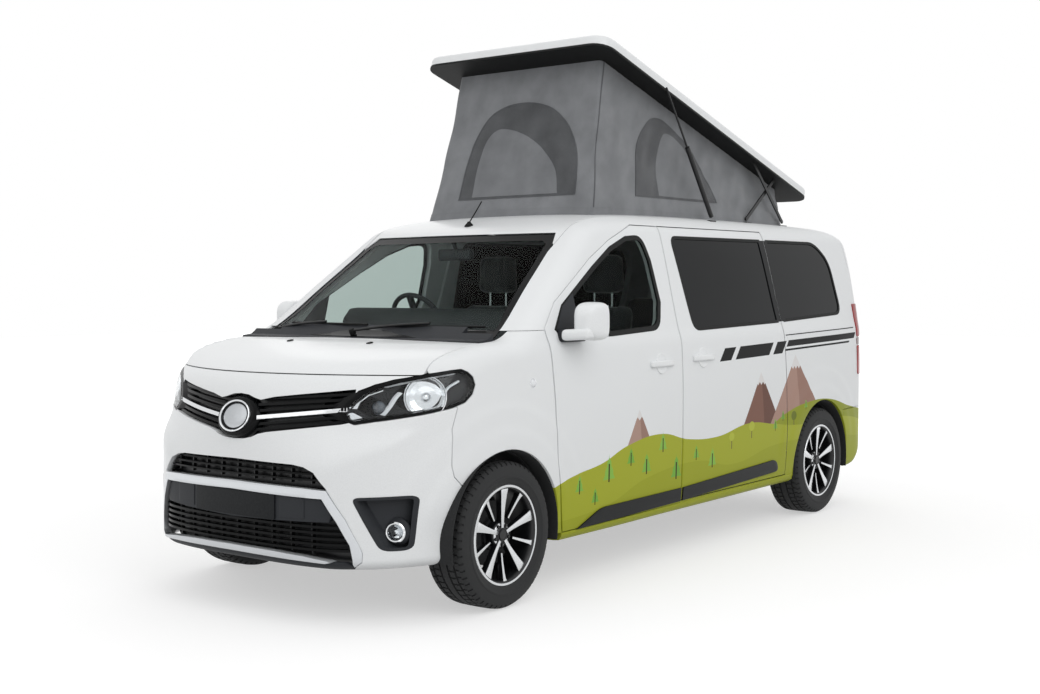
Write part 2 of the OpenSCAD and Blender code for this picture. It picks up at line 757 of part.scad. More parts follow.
in_vehicle() front_door_glass(1);  // front_door_glass_left
in_vehicle() door_mirror(1);  // door_mirror_left
in_vehicle() front_door_panel(-1);  // front_door_right
in_vehicle() front_door_glass(-1);  // front_door_glass_right
in_vehicle() door_mirror(-1);  // door_mirror_right
in_vehicle() tailgate();
in_vehicle() tailgate_glass();
in_vehicle() steering_wheel();
in_vehicle() knuckle(1);  // knuckle_left
in_vehicle() knuckle(-1);  // knuckle_right
in_vehicle() wheel_at(0, 1) tyre();  // tyre_front_left
in_vehicle() wheel_at(0, -1) tyre();  // tyre_front_right
in_vehicle() wheel_at(rear_axle_x, 1) tyre();  // tyre_rear_left
in_vehicle() wheel_at(rear_axle_x, -1) tyre();  // tyre_rear_right
in_vehicle() wheel_at(0, 1) rim();  // rim_front_left
in_vehicle() wheel_at(0, -1) rim();  // rim_front_right
in_vehicle() wheel_at(rear_axle_x, 1) rim();  // rim_rear_left
in_vehicle() wheel_at(rear_axle_x, -1) rim();  // rim_rear_right
in_vehicle() roof_shell();
in_vehicle() tent_canvas();
in_vehicle() roof_arms_main();
in_vehicle() roof_arms_second();
in_vehicle() strut_tubes();
in_vehicle() strut_rods();
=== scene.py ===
import bpy
import bmesh
import math
import numpy as np
from mathutils import Matrix, Vector


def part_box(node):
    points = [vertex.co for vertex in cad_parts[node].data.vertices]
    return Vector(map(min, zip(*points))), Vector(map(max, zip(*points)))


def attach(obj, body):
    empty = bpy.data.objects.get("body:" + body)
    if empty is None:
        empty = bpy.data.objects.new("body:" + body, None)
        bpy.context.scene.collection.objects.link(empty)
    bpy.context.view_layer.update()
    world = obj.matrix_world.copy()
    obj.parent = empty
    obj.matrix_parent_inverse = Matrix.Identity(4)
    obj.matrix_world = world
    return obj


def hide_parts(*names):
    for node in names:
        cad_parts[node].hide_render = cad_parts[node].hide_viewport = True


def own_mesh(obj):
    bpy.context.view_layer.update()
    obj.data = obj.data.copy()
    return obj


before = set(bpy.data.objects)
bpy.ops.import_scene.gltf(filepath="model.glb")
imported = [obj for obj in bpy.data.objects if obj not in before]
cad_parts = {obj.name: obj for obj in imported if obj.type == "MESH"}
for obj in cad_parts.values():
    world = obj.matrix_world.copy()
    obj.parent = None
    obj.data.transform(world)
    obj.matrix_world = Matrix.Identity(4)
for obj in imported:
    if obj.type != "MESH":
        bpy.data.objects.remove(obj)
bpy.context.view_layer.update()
scene = bpy.context.scene
scene.view_settings.view_transform = "Standard"


def axleCentre(tyre):
    low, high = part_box(tyre)
    return (low + high) / 2


frontWheel, rearWheel = axleCentre("tyre_front_left"), axleCentre("tyre_rear_left")
axleX, rearX, hubHeight = frontWheel.x, rearWheel.x, frontWheel.z
noseX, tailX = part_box("front_bumper")[1].x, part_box("rear_bumper")[0].x
sideW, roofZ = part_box("body_side_left")[1].y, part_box("roof_panel")[1].z
print("frame loaded:", len(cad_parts), "nodes")

# camera, lamps, floor

cameraSet = {"place": (axleX + 4.874, 4.74, 1.48), "yaw": -142.218, "pitch": -2.729, "roll": 0.268,
    "lens": 47.45, "shift": (0.0075, 0.0022)}


def makeCamera(c):
    bpy.ops.object.camera_add(location=c["place"])
    camera = bpy.context.object
    yaw, pitch = math.radians(c["yaw"]), math.radians(c["pitch"])
    ahead = Vector((math.cos(yaw) * math.cos(pitch), math.sin(yaw) * math.cos(pitch), math.sin(pitch)))
    turn = ahead.to_track_quat("-Z", "Y") @ Matrix.Rotation(math.radians(-c["roll"]), 3, "Z").to_quaternion()
    camera.rotation_euler = turn.to_euler()
    camera.data.lens, camera.data.sensor_width = c["lens"], 36
    camera.data.shift_x, camera.data.shift_y = c["shift"]
    camera.data.clip_start, camera.data.clip_end = 0.1, 200
    scene.camera = camera


def softLamp(place, aim, size, power):
    bpy.ops.object.light_add(type="AREA", location=place)
    lamp = bpy.context.object
    lamp.data.energy, lamp.data.size = power, size
    lamp.rotation_euler = (Vector(aim) - Vector(place)).to_track_quat("-Z", "Y").to_euler()


def deselectAll():
    for o in bpy.context.selected_objects:
        o.select_set(False)


def only(o):
    deselectAll()
    o.select_set(True)
    bpy.context.view_layer.objects.active = o
    return o


# materials


def linear(code):
    parts = [int(code[i:i + 2], 16) / 255 for i in (1, 3, 5)]
    return tuple(v / 12.92 if v <= 0.04045 else ((v + 0.055) / 1.055) ** 2.4 for v in parts) + (1,)


def add(mat, kind, inputs=None, **settings):
    node = mat.node_tree.nodes.new("ShaderNode" + kind)
    for key, value in settings.items():
        setattr(node, key, value)
    for key, value in (inputs or {}).items():
        if isinstance(value, tuple) and isinstance(value[0], bpy.types.Node):
            mat.node_tree.links.new(value[0].outputs[value[1]], node.inputs[key])
        else:
            node.inputs[key].default_value = value
    return node


def material(name, colour, rough, metal=0.0, **sockets):
    mat = bpy.data.materials.new(name)
    mat.use_nodes = True
    shader = mat.node_tree.nodes["Principled BSDF"]
    shader.inputs["Base Color"].default_value = linear(colour)
    shader.inputs["Roughness"].default_value = rough
    shader.inputs["Metallic"].default_value = metal
    for key, value in sockets.items():
        shader.inputs[key.replace("_", " ")].default_value = value
    return mat, shader


def join(mat, node, output, shader, socket):
    mat.node_tree.links.new(node.outputs[output], shader.inputs[socket])


def grain(mat, shader, size, depth, stretch=(1, 1, 1), roughness=None, tint=None):
    # size is the grain in metres, depth its height; tint pairs two colours, roughness two values
    where = add(mat, "TexCoord")
    scaled = add(mat, "Mapping", {"Vector": (where, "Object"), "Scale": stretch})
    noise = add(mat, "TexNoise", {"Vector": (scaled, "Vector"), "Scale": 1 / size, "Detail": 4.0})
    bump = add(mat, "Bump", {"Height": (noise, "Fac"), "Distance": depth, "Strength": 0.6})
    join(mat, bump, "Normal", shader, "Normal")
    if roughness:
        spread = add(mat, "MapRange",
            {"Value": (noise, "Fac"), "From Min": 0.3, "From Max": 0.7, "To Min": roughness[0],
                "To Max": roughness[1]})
        join(mat, spread, "Result", shader, "Roughness")
    if tint:
        ramp = add(mat, "ValToRGB", {"Fac": (noise, "Fac")})
        ramp.color_ramp.elements[0].position, ramp.color_ramp.elements[1].position = 0.35, 0.65
        for e, c in zip(ramp.color_ramp.elements, tint):
            e.color = linear(c)
        join(mat, ramp, "Color", shader, "Base Color")
    return mat


def simple(name, colour, rough, metal=0.0, size=0.002, depth=0.0002, roughness=None, tint=None,
        stretch=(1, 1, 1), **sockets):
    mat, shader = material(name, colour, rough, metal, **sockets)
    return grain(mat, shader, size, depth, stretch, roughness, tint)


# baked enamel under clear lacquer: faint orange peel, sharp reflections
bodyPaint = simple("lacqueredEnamel", "#E9EBEC", 0.3, size=0.004, depth=0.00004, tint=("#E6E8E9", "#ECEEEF"),
    Specular_IOR_Level=0.3, Coat_Weight=0.12, Coat_Roughness=0.08)
enamelWhite = "#E9EBEC"


def decal():
    # the same enamel under printed vinyl: hills, mountains and trees low down, black stripes at the waist
    mat, shader = material("printedVinyl", enamelWhite, 0.4, Specular_IOR_Level=0.08)
    place = add(mat, "TexCoord")
    parts = add(mat, "SeparateXYZ", {0: (place, "Object")})

    def calc(kind, a, b=0.0):
        return (add(mat, "Math", {0: a, 1: b}, operation=kind), "Value")

    back = calc("SUBTRACT", axleX, (parts, "X"))     # metres behind the front axle
    high, across = (parts, "Z"), calc("ABSOLUTE", (parts, "Y"))
    noise = add(mat, "TexNoise", {"Vector": (place, "Object"), "Scale": 250.0, "Detail": 3.0})
    fleck = add(mat, "Bump", {"Height": (noise, "Fac"), "Distance": 0.00004, "Strength": 0.5})
    join(mat, fleck, "Normal", shader, "Normal")
    layers = []

    def within(v, low, high):
        return calc("MULTIPLY", calc("GREATER_THAN", v, low), calc("LESS_THAN", v, high))

    def both(a, b):
        return calc("MULTIPLY", a, b)

    def blend(mask, below, above):
        mix = add(mat, "Mix", {0: mask, 6: below, 7: above}, data_type="RGBA")
        return (mix, 2)

    def lay(mask, colour):
        layers.append(blend(mask, layers[-1] if layers else linear(enamelWhite), linear(colour)))

    hillStart, hillEnd = 0.3, 4.1

    def hill(points, colour):
        span = add(mat, "MapRange", {"Value": back, "From Min": hillStart, "From Max": hillEnd})
        line = add(mat, "FloatCurve", {"Value": (span, "Result")})
        curve = line.mapping.curves[0]
        for n, (s, z) in enumerate(points):
            at = ((s - hillStart) / (hillEnd - hillStart), z)
            if n < 2:
                curve.points[n].location = at
            else:
                curve.points.new(*at)
        line.mapping.update()
        lay(calc("LESS_THAN", high, (line, "Value")), colour)

    def peak(s, top, base, reach, sun, shade):
        fall = calc("SUBTRACT", top, high)                  # how far below the top
        off = calc("SUBTRACT", back, s)
        edge = both(fall, reach / (top - base))
        inside = both(calc("LESS_THAN", calc("ABSOLUTE", off), edge), within(high, base, top))
        lay(inside, sun)
        jag = calc("MULTIPLY", calc("PINGPONG", off, 0.02), 0.9)
        lay(both(inside, calc("GREATER_THAN", off, calc("MULTIPLY", fall, 0.12))), shade)
        lay(both(inside, calc("LESS_THAN", calc("ADD", fall, jag), (top - base) * 0.15)), "#E2E0DF")

    def conifer(s, base, tall, colour):
        # three skirts of branches on a dark trunk
        half = tall * 0.42
        off = calc("ABSOLUTE", calc("SUBTRACT", back, s))
        rise = calc("SUBTRACT", high, base)
        step = calc("MULTIPLY", calc("PINGPONG", rise, tall / 6), 0.35)
        taper = calc("SUBTRACT", calc("MULTIPLY", calc("SUBTRACT", tall, rise), half / tall), step)
        lay(both(calc("LESS_THAN", off, taper), within(rise, 0.0, tall)), colour)
        lay(both(calc("LESS_THAN", off, half * 0.11), within(rise, -0.014, tall * 0.6)), "#3E2B1C")

    def roundTree(s, base, radius, colour):
        off = calc("SUBTRACT", back, s)
        rise = calc("SUBTRACT", high, base)
        lay(both(calc("LESS_THAN", calc("ABSOLUTE", off), 0.0035), within(rise, -0.07, 0.0)), "#5B4738")
        reach = calc("SQRT", calc("ADD", both(off, off), calc("MULTIPLY", both(rise, rise), 1.5)))
        lay(calc("LESS_THAN", reach, radius), colour)

    peak(1.1, 0.83, 0.45, 0.24, "#B09286", "#9B7C70")
    peak(2.44, 0.95, 0.45, 0.37, "#7F5B4E", "#6B4A3F")
    peak(2.9, 1.035, 0.45, 0.5, "#AC8B7E", "#9B796C")
    hill(
        [(0.3, 0.2), (4.1, 0.6), (2.2, 0.45), (2.5, 0.585), (2.75, 0.68), (3.0, 0.725), (3.3, 0.735),
            (3.7, 0.66)],
        "#909828")
    roundTree(2.86, 0.66, 0.035, "#6A7420")
    hill(
        [(0.3, 0.5), (4.1, 0.5), (0.5, 0.55), (0.75, 0.585), (1.0, 0.655), (1.3, 0.685), (1.6, 0.63),
            (1.9, 0.615), (2.3, 0.66), (2.6, 0.63), (2.9, 0.6), (3.6, 0.6)],
        "#A6AC36")
    hill(
        [(0.3, 0.34), (4.1, 0.42), (0.8, 0.37), (1.2, 0.47), (1.7, 0.5), (2.1, 0.44), (2.6, 0.5), (3.2, 0.5)],
        "#9EA430")
    roundTree(2.08, 0.6, 0.03, "#B4BC45")
    roundTree(2.32, 0.64, 0.034, "#B4BC45")
    for s, base, tall, colour in ((0.56, 0.47, 0.09, "#82B54B"), (0.7, 0.4, 0.08, "#78AE46"),
            (0.82, 0.5, 0.13, "#8ABB50"), (1.02, 0.56, 0.09, "#78AE46"), (1.17, 0.5, 0.11, "#82B54B"),
            (1.33, 0.6, 0.1, "#8ABB50"), (1.47, 0.44, 0.13, "#78AE46"), (1.68, 0.52, 0.08, "#82B54B"),
            (1.86, 0.46, 0.11, "#8ABB50"), (2.62, 0.6, 0.07, "#82B54B"), (2.72, 0.65, 0.06, "#78AE46"),
            (3.02, 0.7, 0.055, "#82B54B")):
        conifer(s, base, tall, colour)
    slant = calc("SUBTRACT", back, calc("MULTIPLY", calc("SUBTRACT", high, 1.09), 0.9))
    rise = calc("SUBTRACT", high, calc("MULTIPLY", back, 0.019))
    for s0, s1, z0, z1 in ((2.0, 2.13, 0.999, 1.071), (2.18, 2.59, 0.999, 1.071), (2.64, 2.76, 0.999, 1.071),
            (2.785, 3.79, 1.035, 1.073), (2.785, 3.72, 1.01, 1.022)):
        lay(both(within(slant, s0, s1), within(rise, z0, z1)), "#0B0C0D")
    side = both(calc("GREATER_THAN", across, 0.8), within(back, 0.33, 4.05))
    last, output = blend(side, linear(enamelWhite), layers[-1])
    join(mat, last, output, shader, "Base Color")
    return mat


decalPaint = decal()
# polypropylene moulded in a spark-eroded tool: fine matt grain
trimPlastic = simple("mouldedPolypropylene", "#2B2D30", 0.55, size=0.0015, depth=0.00025,
    tint=("#25272A", "#303236"), roughness=(0.48, 0.62), Specular_IOR_Level=0.2)
# ABS moulded glossy black, as around lamps and windows
glossPlastic = simple("glossAbs", "#0B0C0D", 0.18, size=0.01, depth=0.00002, tint=("#090A0B", "#0E0F10"),
    Specular_IOR_Level=0.1)
# chromium plate on ABS: mirror with faint haze
chromePlate = simple("chromePlate", "#D8DADC", 0.1, 1.0, size=0.02, depth=0.00003, roughness=(0.06, 0.14))
# painted silver, satin lacquer with fine flake
silverPaint = simple("satinSilverPaint", "#B4B7BA", 0.32, 0.75, size=0.0012, depth=0.00005,
    tint=("#A9ACAF", "#BFC2C5"))
# light silver lacquer on moulded ABS, as round the lower grille
frameSilver = simple("lightSilverLacquer", "#C6C9CC", 0.28, 0.5, size=0.0012, depth=0.00004,
    tint=("#C6C9CC", "#D4D7DA"), Coat_Weight=0.3)
# aluminium alloy turned on its face: fine concentric tool marks
turnedAlloy = simple("faceTurnedAlloy", "#D2D4D6", 0.22, 0.95, size=0.0015, depth=0.00005,
    roughness=(0.18, 0.3), tint=("#C6C8CA", "#DADCDE"))
# alloy pocket under black powder coat
blackAlloy = simple("powderCoatedAlloy", "#131416", 0.35, 0.2, size=0.002, depth=0.0001,
    tint=("#0F1012", "#18191B"))


def cloth(name, colours, thread, depth, rough=0.85, sheen=0.3, alpha=None):
    # plain weave read from the piece's own UV map in metres; thread is drawn coarser than real so that it shows
    mat, shader = material(name, colours[0], rough, Sheen_Weight=sheen)
    place = add(mat, "UVMap", uv_map="weave")
    parts = add(mat, "SeparateXYZ", {0: (place, "UV")})
    waves = []
    for axis in ("X", "Y"):
        turn = add(mat, "Math", {0: (parts, axis), 1: 2 * math.pi / thread}, operation="MULTIPLY")
        waves.append(add(mat, "Math", {0: (turn, "Value")}, operation="SINE"))
    weave = add(mat, "Math", {0: (waves[0], "Value"), 1: (waves[1], "Value")}, operation="MULTIPLY")
    blotch = add(mat, "TexNoise", {"Vector": (place, "UV"), "Scale": 6.0, "Detail": 5.0})
    mixed = add(mat, "Math", {0: (weave, "Value"), 1: 0.12, 2: (blotch, "Fac")}, operation="MULTIPLY_ADD")
    ramp = add(mat, "ValToRGB", {"Fac": (mixed, "Value")})
    ramp.color_ramp.elements[0].position, ramp.color_ramp.elements[1].position = 0.3, 0.72
    for e, c in zip(ramp.color_ramp.elements, colours[1:]):
        e.color = linear(c)
    join(mat, ramp, "Color", shader, "Base Color")
    bump = add(mat, "Bump", {"Height": (weave, "Value"), "Distance": depth, "Strength": 0.5})
    join(mat, bump, "Normal", shader, "Normal")
    return mat


# coated canvas, woven: dull, with faint handling marks
tentCanvas = cloth("coatedCanvas", ("#77797C", "#6C6E71", "#828487"), 0.004, 0.0003)
tentHem = cloth("doubledCanvas", ("#737578", "#696B6E", "#7D7F82"), 0.004, 0.0003)
tentBinding = cloth("wovenBinding", ("#46484B", "#3C3E41", "#505255"), 0.003, 0.0003)
tentMesh = cloth("insectMesh", ("#3F4144", "#333538", "#4B4D50"), 0.003, 0.0004, 0.7)
tentCurtain = cloth("liningCloth", ("#6E7073", "#66686B", "#7A7C7F"), 0.003, 0.0002)

# tyre rubber, vulcanised in a mould: matt with faint bloom
tyreRubber = simple("vulcanisedRubber", "#1B1C1D", 0.78, size=0.006, depth=0.0003, tint=("#161718", "#222324"),
    roughness=(0.7, 0.85))
# extruded EPDM seal
sealRubber = simple("extrudedRubber", "#0F1010", 0.6, size=0.003, depth=0.0002, tint=("#0C0D0D", "#141515"),
    Specular_IOR_Level=0.2)
# float glass tinted in the mass, privacy grade
privacyGlass = simple("privacyGlass", "#0B0D0F", 0.06, size=0.5, depth=0.0003, tint=("#090B0D", "#0E1113"),
    Specular_IOR_Level=0.1)
# laminated float glass, faint green
clearGlass, clearShader = material("laminatedGlass", "#DFE8E5", 0.0, Transmission_Weight=1.0, IOR=1.06)
grain(clearGlass, clearShader, 0.6, 0.0002)
tintGlass, tintShader = material("tintedGlass", "#BAC4C1", 0.0, Transmission_Weight=1.0, IOR=1.06)
grain(tintGlass, tintShader, 0.6, 0.0002)
# polycarbonate lamp cover, injection moulded, hard coated
lampCover, coverShader = material("polycarbonateCover", "#F4F6F7", 0.0, Transmission_Weight=1.0, IOR=1.25)
grain(lampCover, coverShader, 0.3, 0.0001)
# vacuum-metallised reflector, pressed in facets
mirrorFacet = simple("metallisedReflector", "#E4E6E8", 0.12, 1.0, size=0.012, depth=0.0012,
    roughness=(0.06, 0.18))
# lamp mask moulded satin black
lampBlack = simple("satinPolycarbonate", "#1A1B1D", 0.3, size=0.003, depth=0.0001, tint=("#151618", "#202124"),
    Specular_IOR_Level=0.25)
# frosted acrylic light guide
lightGuide = simple("frostedAcrylic", "#E6E9EC", 0.25, size=0.002, depth=0.0001, tint=("#DDE0E3", "#F0F2F4"),
    Coat_Weight=0.4)
# ground glass projector lens, seen against a dark bore
projectorLens = simple("groundProjectorLens", "#3A4046", 0.04, size=0.03, depth=0.0003,
    tint=("#2B3036", "#596068"), Coat_Weight=0.6)
# glass-fibre shell under white gel coat: faint ripple
gelCoat = simple("whiteGelCoat", "#E4E6E7", 0.28, size=0.05, depth=0.0001, tint=("#E4E6E7", "#E7E9EA"),
    Specular_IOR_Level=0.3, Coat_Weight=0.1)
# black powder coat over flat steel bar
coatedSteel = simple("powderCoatedSteel", "#141516", 0.42, 0.3, size=0.0015, depth=0.0001,
    tint=("#101112", "#1A1B1C"))
# hard chromium on a ground piston rod
chromedRod = simple("hardChromedRod", "#C9CBCD", 0.14, 1.0, size=0.004, depth=0.00002, roughness=(0.1, 0.2))
# underside of the shell, carpet-lined
shellLining = simple("needledFelt", "#505255", 0.95, size=0.003, depth=0.0004, tint=("#484A4D", "#585A5D"),
    Sheen_Weight=0.3)
# silvered mirror glass
mirrorPane = simple("silveredGlass", "#C8CCD0", 0.02, 1.0, size=0.5, depth=0.0001, roughness=(0.01, 0.03))
# clear and smoked acrylic between the red lenses
tailBand = simple("smokedAcrylic", "#5A2A2C", 0.12, size=0.006, depth=0.0005, tint=("#4C2224", "#6B3537"),
    Coat_Weight=0.5)
# rubber-backed van flooring, laid in sheet
floorCoating = simple("sheetFlooring", "#6C6A66", 0.7, size=0.008, depth=0.0002, tint=("#62605C", "#76746F"))
# needle-punched liner felt, moulded
linerFelt = simple("mouldedLinerFelt", "#1D1E1F", 0.95, size=0.003, depth=0.0003, tint=("#171819", "#252627"))
# blow-moulded polyethylene
tankPlastic = simple("blowMouldedPolyethylene", "#191A1B", 0.5, size=0.02, depth=0.0004,
    tint=("#151617", "#1F2021"))
# woven seat cloth, dark, with a fine rib
seatWeave = simple("ribbedSeatCloth", "#26282B", 0.9, size=0.0025, depth=0.0005, tint=("#1F2124", "#303236"),
    Sheen_Weight=0.35)
# satin black moulded guard
satinBlack = simple("satinMouldedAbs", "#1C1E20", 0.42, size=0.002, depth=0.00008, tint=("#131415", "#1B1D1F"),
    Specular_IOR_Level=0.15)
# blank plate, acrylic faced
plateBlank = simple("blankPlateAcrylic", "#232528", 0.25, size=0.01, depth=0.00005, tint=("#1A1C1E", "#202224"),
    Specular_IOR_Level=0.1)
# red acrylic lens
redLens = simple("redAcrylic", "#930D12", 0.15, size=0.006, depth=0.0006, tint=("#7E090D", "#A81218"),
    Specular_IOR_Level=0.25)
# zinc-coated pressed steel with stone-chip coating, as under the floor
underSteel = simple("chipCoatedSteel", "#3A3C3E", 0.7, 0.2, size=0.01, depth=0.0008,
    tint=("#2E3032", "#46484A"))
# black wax-coated casting
castIron = simple("waxedCasting", "#232425", 0.6, 0.4, size=0.004, depth=0.0005, tint=("#1C1D1E", "#2E2F30"))
# aluminised exhaust steel
exhaustSteel = simple("aluminisedSteel", "#8A8882", 0.45, 0.85, size=0.02, depth=0.0003,
    tint=("#7C7972", "#979590"))
# laminate-faced furniture board
laminateBoard = simple("laminateBoard", "#A3A5A3", 0.4, size=0.004, depth=0.0001, tint=("#989A98", "#AEB0AE"))
# soft-touch moulded dashboard skin, leather-like grain
dashSkin = simple("slushMouldedSkin", "#202225", 0.65, size=0.003, depth=0.0005, tint=("#1B1D20", "#27292C"))

# the body's surface

# metres ahead of the front axle line, from the middle, or above the ground
outlines = {
    "side": [(0.71, 0.232), (0.815, 0.292), (0.84, 0.422), (0.834, 0.6), (0.805, 0.8), (0.765, 0.96),
        (0.72, 1.055), (0.62, 1.12), (0.45, 1.166), (0.2, 1.206), (-0.018, 1.236), (-0.39, 1.487),
        (-0.759, 1.742), (-0.85, 1.79), (-1.05, 1.845), (-1.4, 1.88), (-2.0, 1.9), (-2.8, 1.897), (-3.5, 1.875),
        (-3.85, 1.845), (-3.97, 1.8), (-4.018, 1.72), (-4.015, 1.4), (-4.005, 1.1), (-4.01, 0.64),
        (-4.082, 0.6), (-4.09, 0.52), (-4.08, 0.4), (-3.96, 0.3), (-3.76, 0.232)],
    "section": [(0.9, 0.232), (0.938, 0.33), (0.952, 0.48), (0.96, 0.7), (0.956, 0.9), (0.944, 1.05),
        (0.93, 1.165), (0.9, 1.24), (0.76, 1.75), (0.72, 1.81), (0.66, 1.852), (0.54, 1.876), (0.32, 1.894),
        (0.0, 1.9)],
    "plan": [(-4.09, 0.33), (-4.07, 0.6), (-4.028, 0.795), (-3.925, 0.905), (-3.755, 0.94), (-3.475, 0.96),
        (-0.5, 0.96), (-0.2, 0.953), (0.1, 0.935), (0.32, 0.89), (0.47, 0.82), (0.62, 0.72), (0.74, 0.57),
        (0.79, 0.42), (0.825, 0.25), (0.84, 0.09)]}


def smoothLoop(points, steps=5, sharp=()):
    out, n = [], len(points)
    for i in range(n):
        p = [np.array(points[(i + k) % n], float) for k in (-1, 0, 1, 2)]
        reach = np.linalg.norm(p[2] - p[1])
        m1 = (p[2] - p[0]) / max(np.linalg.norm(p[2] - p[0]), 1e-9) * reach
        m2 = (p[3] - p[1]) / max(np.linalg.norm(p[3] - p[1]), 1e-9) * reach
        if i in sharp or (i + 1) % n in sharp:
            m1 = m2 = p[2] - p[1]
        for s in np.arange(steps) / steps:
            out.append((2 * s**3 - 3 * s**2 + 1) * p[1] + (s**3 - 2 * s**2 + s) * m1
                       + (3 * s**2 - 2 * s**3) * p[2] + (s**3 - s**2) * m2)
    return np.array(out)


def rounded(points, radius, only=None, n=5):
    # cuts each corner of a closed outline with a smooth curve; only lists which corners
    out = []
    for i, p in enumerate(points):
        a, b, c = (np.array(points[(i + k) % len(points)], float) for k in (-1, 0, 1))
        if only is not None and i not in only:
            out.append(tuple(b))
            continue
        la, lc = np.linalg.norm(a - b), np.linalg.norm(c - b)
        start, end = b + (a - b) / la * min(radius, la / 2.2), b + (c - b) / lc * min(radius, lc / 2.2)
        out += [tuple((1 - t) ** 2 * start + 2 * t * (1 - t) * b + t * t * end)
            for t in np.linspace(0, 1, n + 1)]
    return out


def distanceField(loop, low, high, step=0.01):
    u, v = np.arange(low[0], high[0], step), np.arange(low[1], high[1], step)
    gu, gv = np.meshgrid(u, v, indexing="ij")
    best, inside = np.full(gu.shape, 9.0), np.zeros(gu.shape, bool)
    for a, b in zip(loop, np.roll(loop, -1, 0)):
        d = b - a
        t = np.clip(((gu - a[0]) * d[0] + (gv - a[1]) * d[1]) / max(d @ d, 1e-12), 0, 1)
        best = np.minimum(best, np.hypot(gu - a[0] - t * d[0], gv - a[1] - t * d[1]))
        if abs(d[1]) > 1e-12:
            crosses = (a[1] > gv) != (b[1] > gv)
            inside ^= crosses & (gu < a[0] + (gv - a[1]) * d[0] / d[1])
    return np.where(inside, -best, best), low, step


def sample(grid, u, v):
    values, low, step = grid
    a = np.clip((u - low[0]) / step, 0, values.shape[0] - 1.001)
    b = np.clip((v - low[1]) / step, 0, values.shape[1] - 1.001)
    i, j = a.astype(int), b.astype(int)
    a, b = a - i, b - j
    return ((1 - a) * (1 - b) * values[i, j] + a * (1 - b) * values[i + 1, j]
            + (1 - a) * b * values[i, j + 1] + a * b * values[i + 1, j + 1])


def step01(v, low, high):
    t = np.clip((v - low) / (high - low), 0, 1)
    return t * t * (3 - 2 * t)


def mirrorHalf(points):
    return points + [(-a, b) for a, b in reversed(points) if a > 0]


sideField = distanceField(smoothLoop(outlines["side"]), (-4.4, 0.0), (1.2, 2.3))
sectionField = distanceField(smoothLoop(mirrorHalf(outlines["section"])), (-0.1, 0.0), (1.3, 2.3))
planField = distanceField(smoothLoop(outlines["plan"] + [(x, -y) for x, y in reversed(outlines["plan"])]),
    (-4.4, -0.1), (1.2, 1.3))
bodyShape = {"edgeRadius": 0.07, "noseBow": 0.4, "screenBow": 0.16, "flare": 0.0055}


def depth(p):
    # signed distance to the body's skin: three outlines met with rounded edges, plus the arch flares
    x, y, z = p[:, 0] - axleX, np.abs(p[:, 1]), p[:, 2]
    bend = bodyShape["noseBow"] * step01(z, 0.62, 0.88)
    bend = bend - (bodyShape["noseBow"] - bodyShape["screenBow"]) * step01(z, 1.08, 1.22)
    bow = bend * y**2 * step01(x, -1.6, -0.7)
    r = bodyShape["edgeRadius"]
    parts = np.stack([sample(sideField, x + bow, z), sample(sectionField, y, z), sample(planField, x, y)]) + r
    d = np.sqrt((np.maximum(parts, 0) ** 2).sum(0)) - r + np.minimum(parts.max(0), 0)
    for centre in (0.0, rearX - axleX):
        reach = np.hypot(x - centre, z - hubHeight)
        high = step01(z, hubHeight + 0.02, hubHeight + 0.2) * step01(y, 0.7, 0.85)
        d -= bodyShape["flare"] * high * (step01(reach, 0.62, 0.575) + step01(reach, 0.5, 0.465))
    return d


def skinPoint(origins, directions, near, far):
    low, high = np.full(len(origins), near), np.full(len(origins), far)
    for _ in range(22):
        middle = (low + high) / 2
        inside = depth(origins + directions * middle[:, None]) < 0
        low, high = np.where(inside, middle, low), np.where(inside, high, middle)
    return origins + directions * low[:, None]


def gridOrder(o):
    # the vertices of a grid primitive, column by column
    x, y = (np.round([w.co[k] for w in o.data.vertices], 5) for k in (0, 1))
    return np.lexsort((y, x))


turnLine = {"nose": -0.1, "tail": -3.3}   # upright lines that the nose and tail are swept about


def patch(name, kind, u, v, lift=0.0):
    # "side": u is x, v an angle about a lengthwise line; "top": u is x, v is y, looking down;
    # "nose" and "tail": u is an angle about an upright line, v is z
    us, vs = np.linspace(*u), np.linspace(*v)
    gu, gv = (g.ravel() for g in np.meshgrid(us, vs, indexing="ij"))
    zero = np.zeros_like(gu)
    if kind == "side":
        origins = np.stack([gu + axleX, zero + 0.2, zero + 1.15], 1)
        directions = np.stack([zero, np.cos(np.radians(gv)), np.sin(np.radians(gv))], 1)
    elif kind == "top":
        origins = np.stack([gu + axleX, gv, zero + 0.6], 1)
        directions = np.stack([zero, zero, zero + 1], 1)
    else:
        origins = np.stack([zero + axleX + turnLine[kind], zero, gv], 1)
        directions = np.stack([np.cos(np.radians(gu)), np.sin(np.radians(gu)), zero], 1)
    points = skinPoint(origins, directions, 0.0, 1.6) + directions * lift
    lost = depth(origins) > -0.02
    bpy.ops.mesh.primitive_grid_add(x_subdivisions=len(us) - 1, y_subdivisions=len(vs) - 1, size=1)
    o = bpy.context.object
    o.name = name
    order = gridOrder(o)
    for spot, index in zip(points, order):
        o.data.vertices[index].co = spot
    if lost.any():
        mesh = bmesh.new()
        mesh.from_mesh(o.data)
        mesh.verts.ensure_lookup_table()
        bmesh.ops.delete(mesh, geom=[mesh.verts[i] for i, gone in zip(order, lost) if gone], context="VERTS")
        mesh.to_mesh(o.data)
        mesh.free()
    return o


def editAll(o):
    only(o)
    bpy.ops.object.mode_set(mode="EDIT")
    bpy.ops.mesh.select_all(action="SELECT")


def leaveEdit():
    bpy.ops.object.mode_set(mode="OBJECT")


def modify(o, kind, **settings):
    only(o)
    m = o.modifiers.new(kind.lower(), kind)
    for key, value in settings.items():
        setattr(m, key, value)
    bpy.ops.object.modifier_apply(modifier=m.name)
    return o


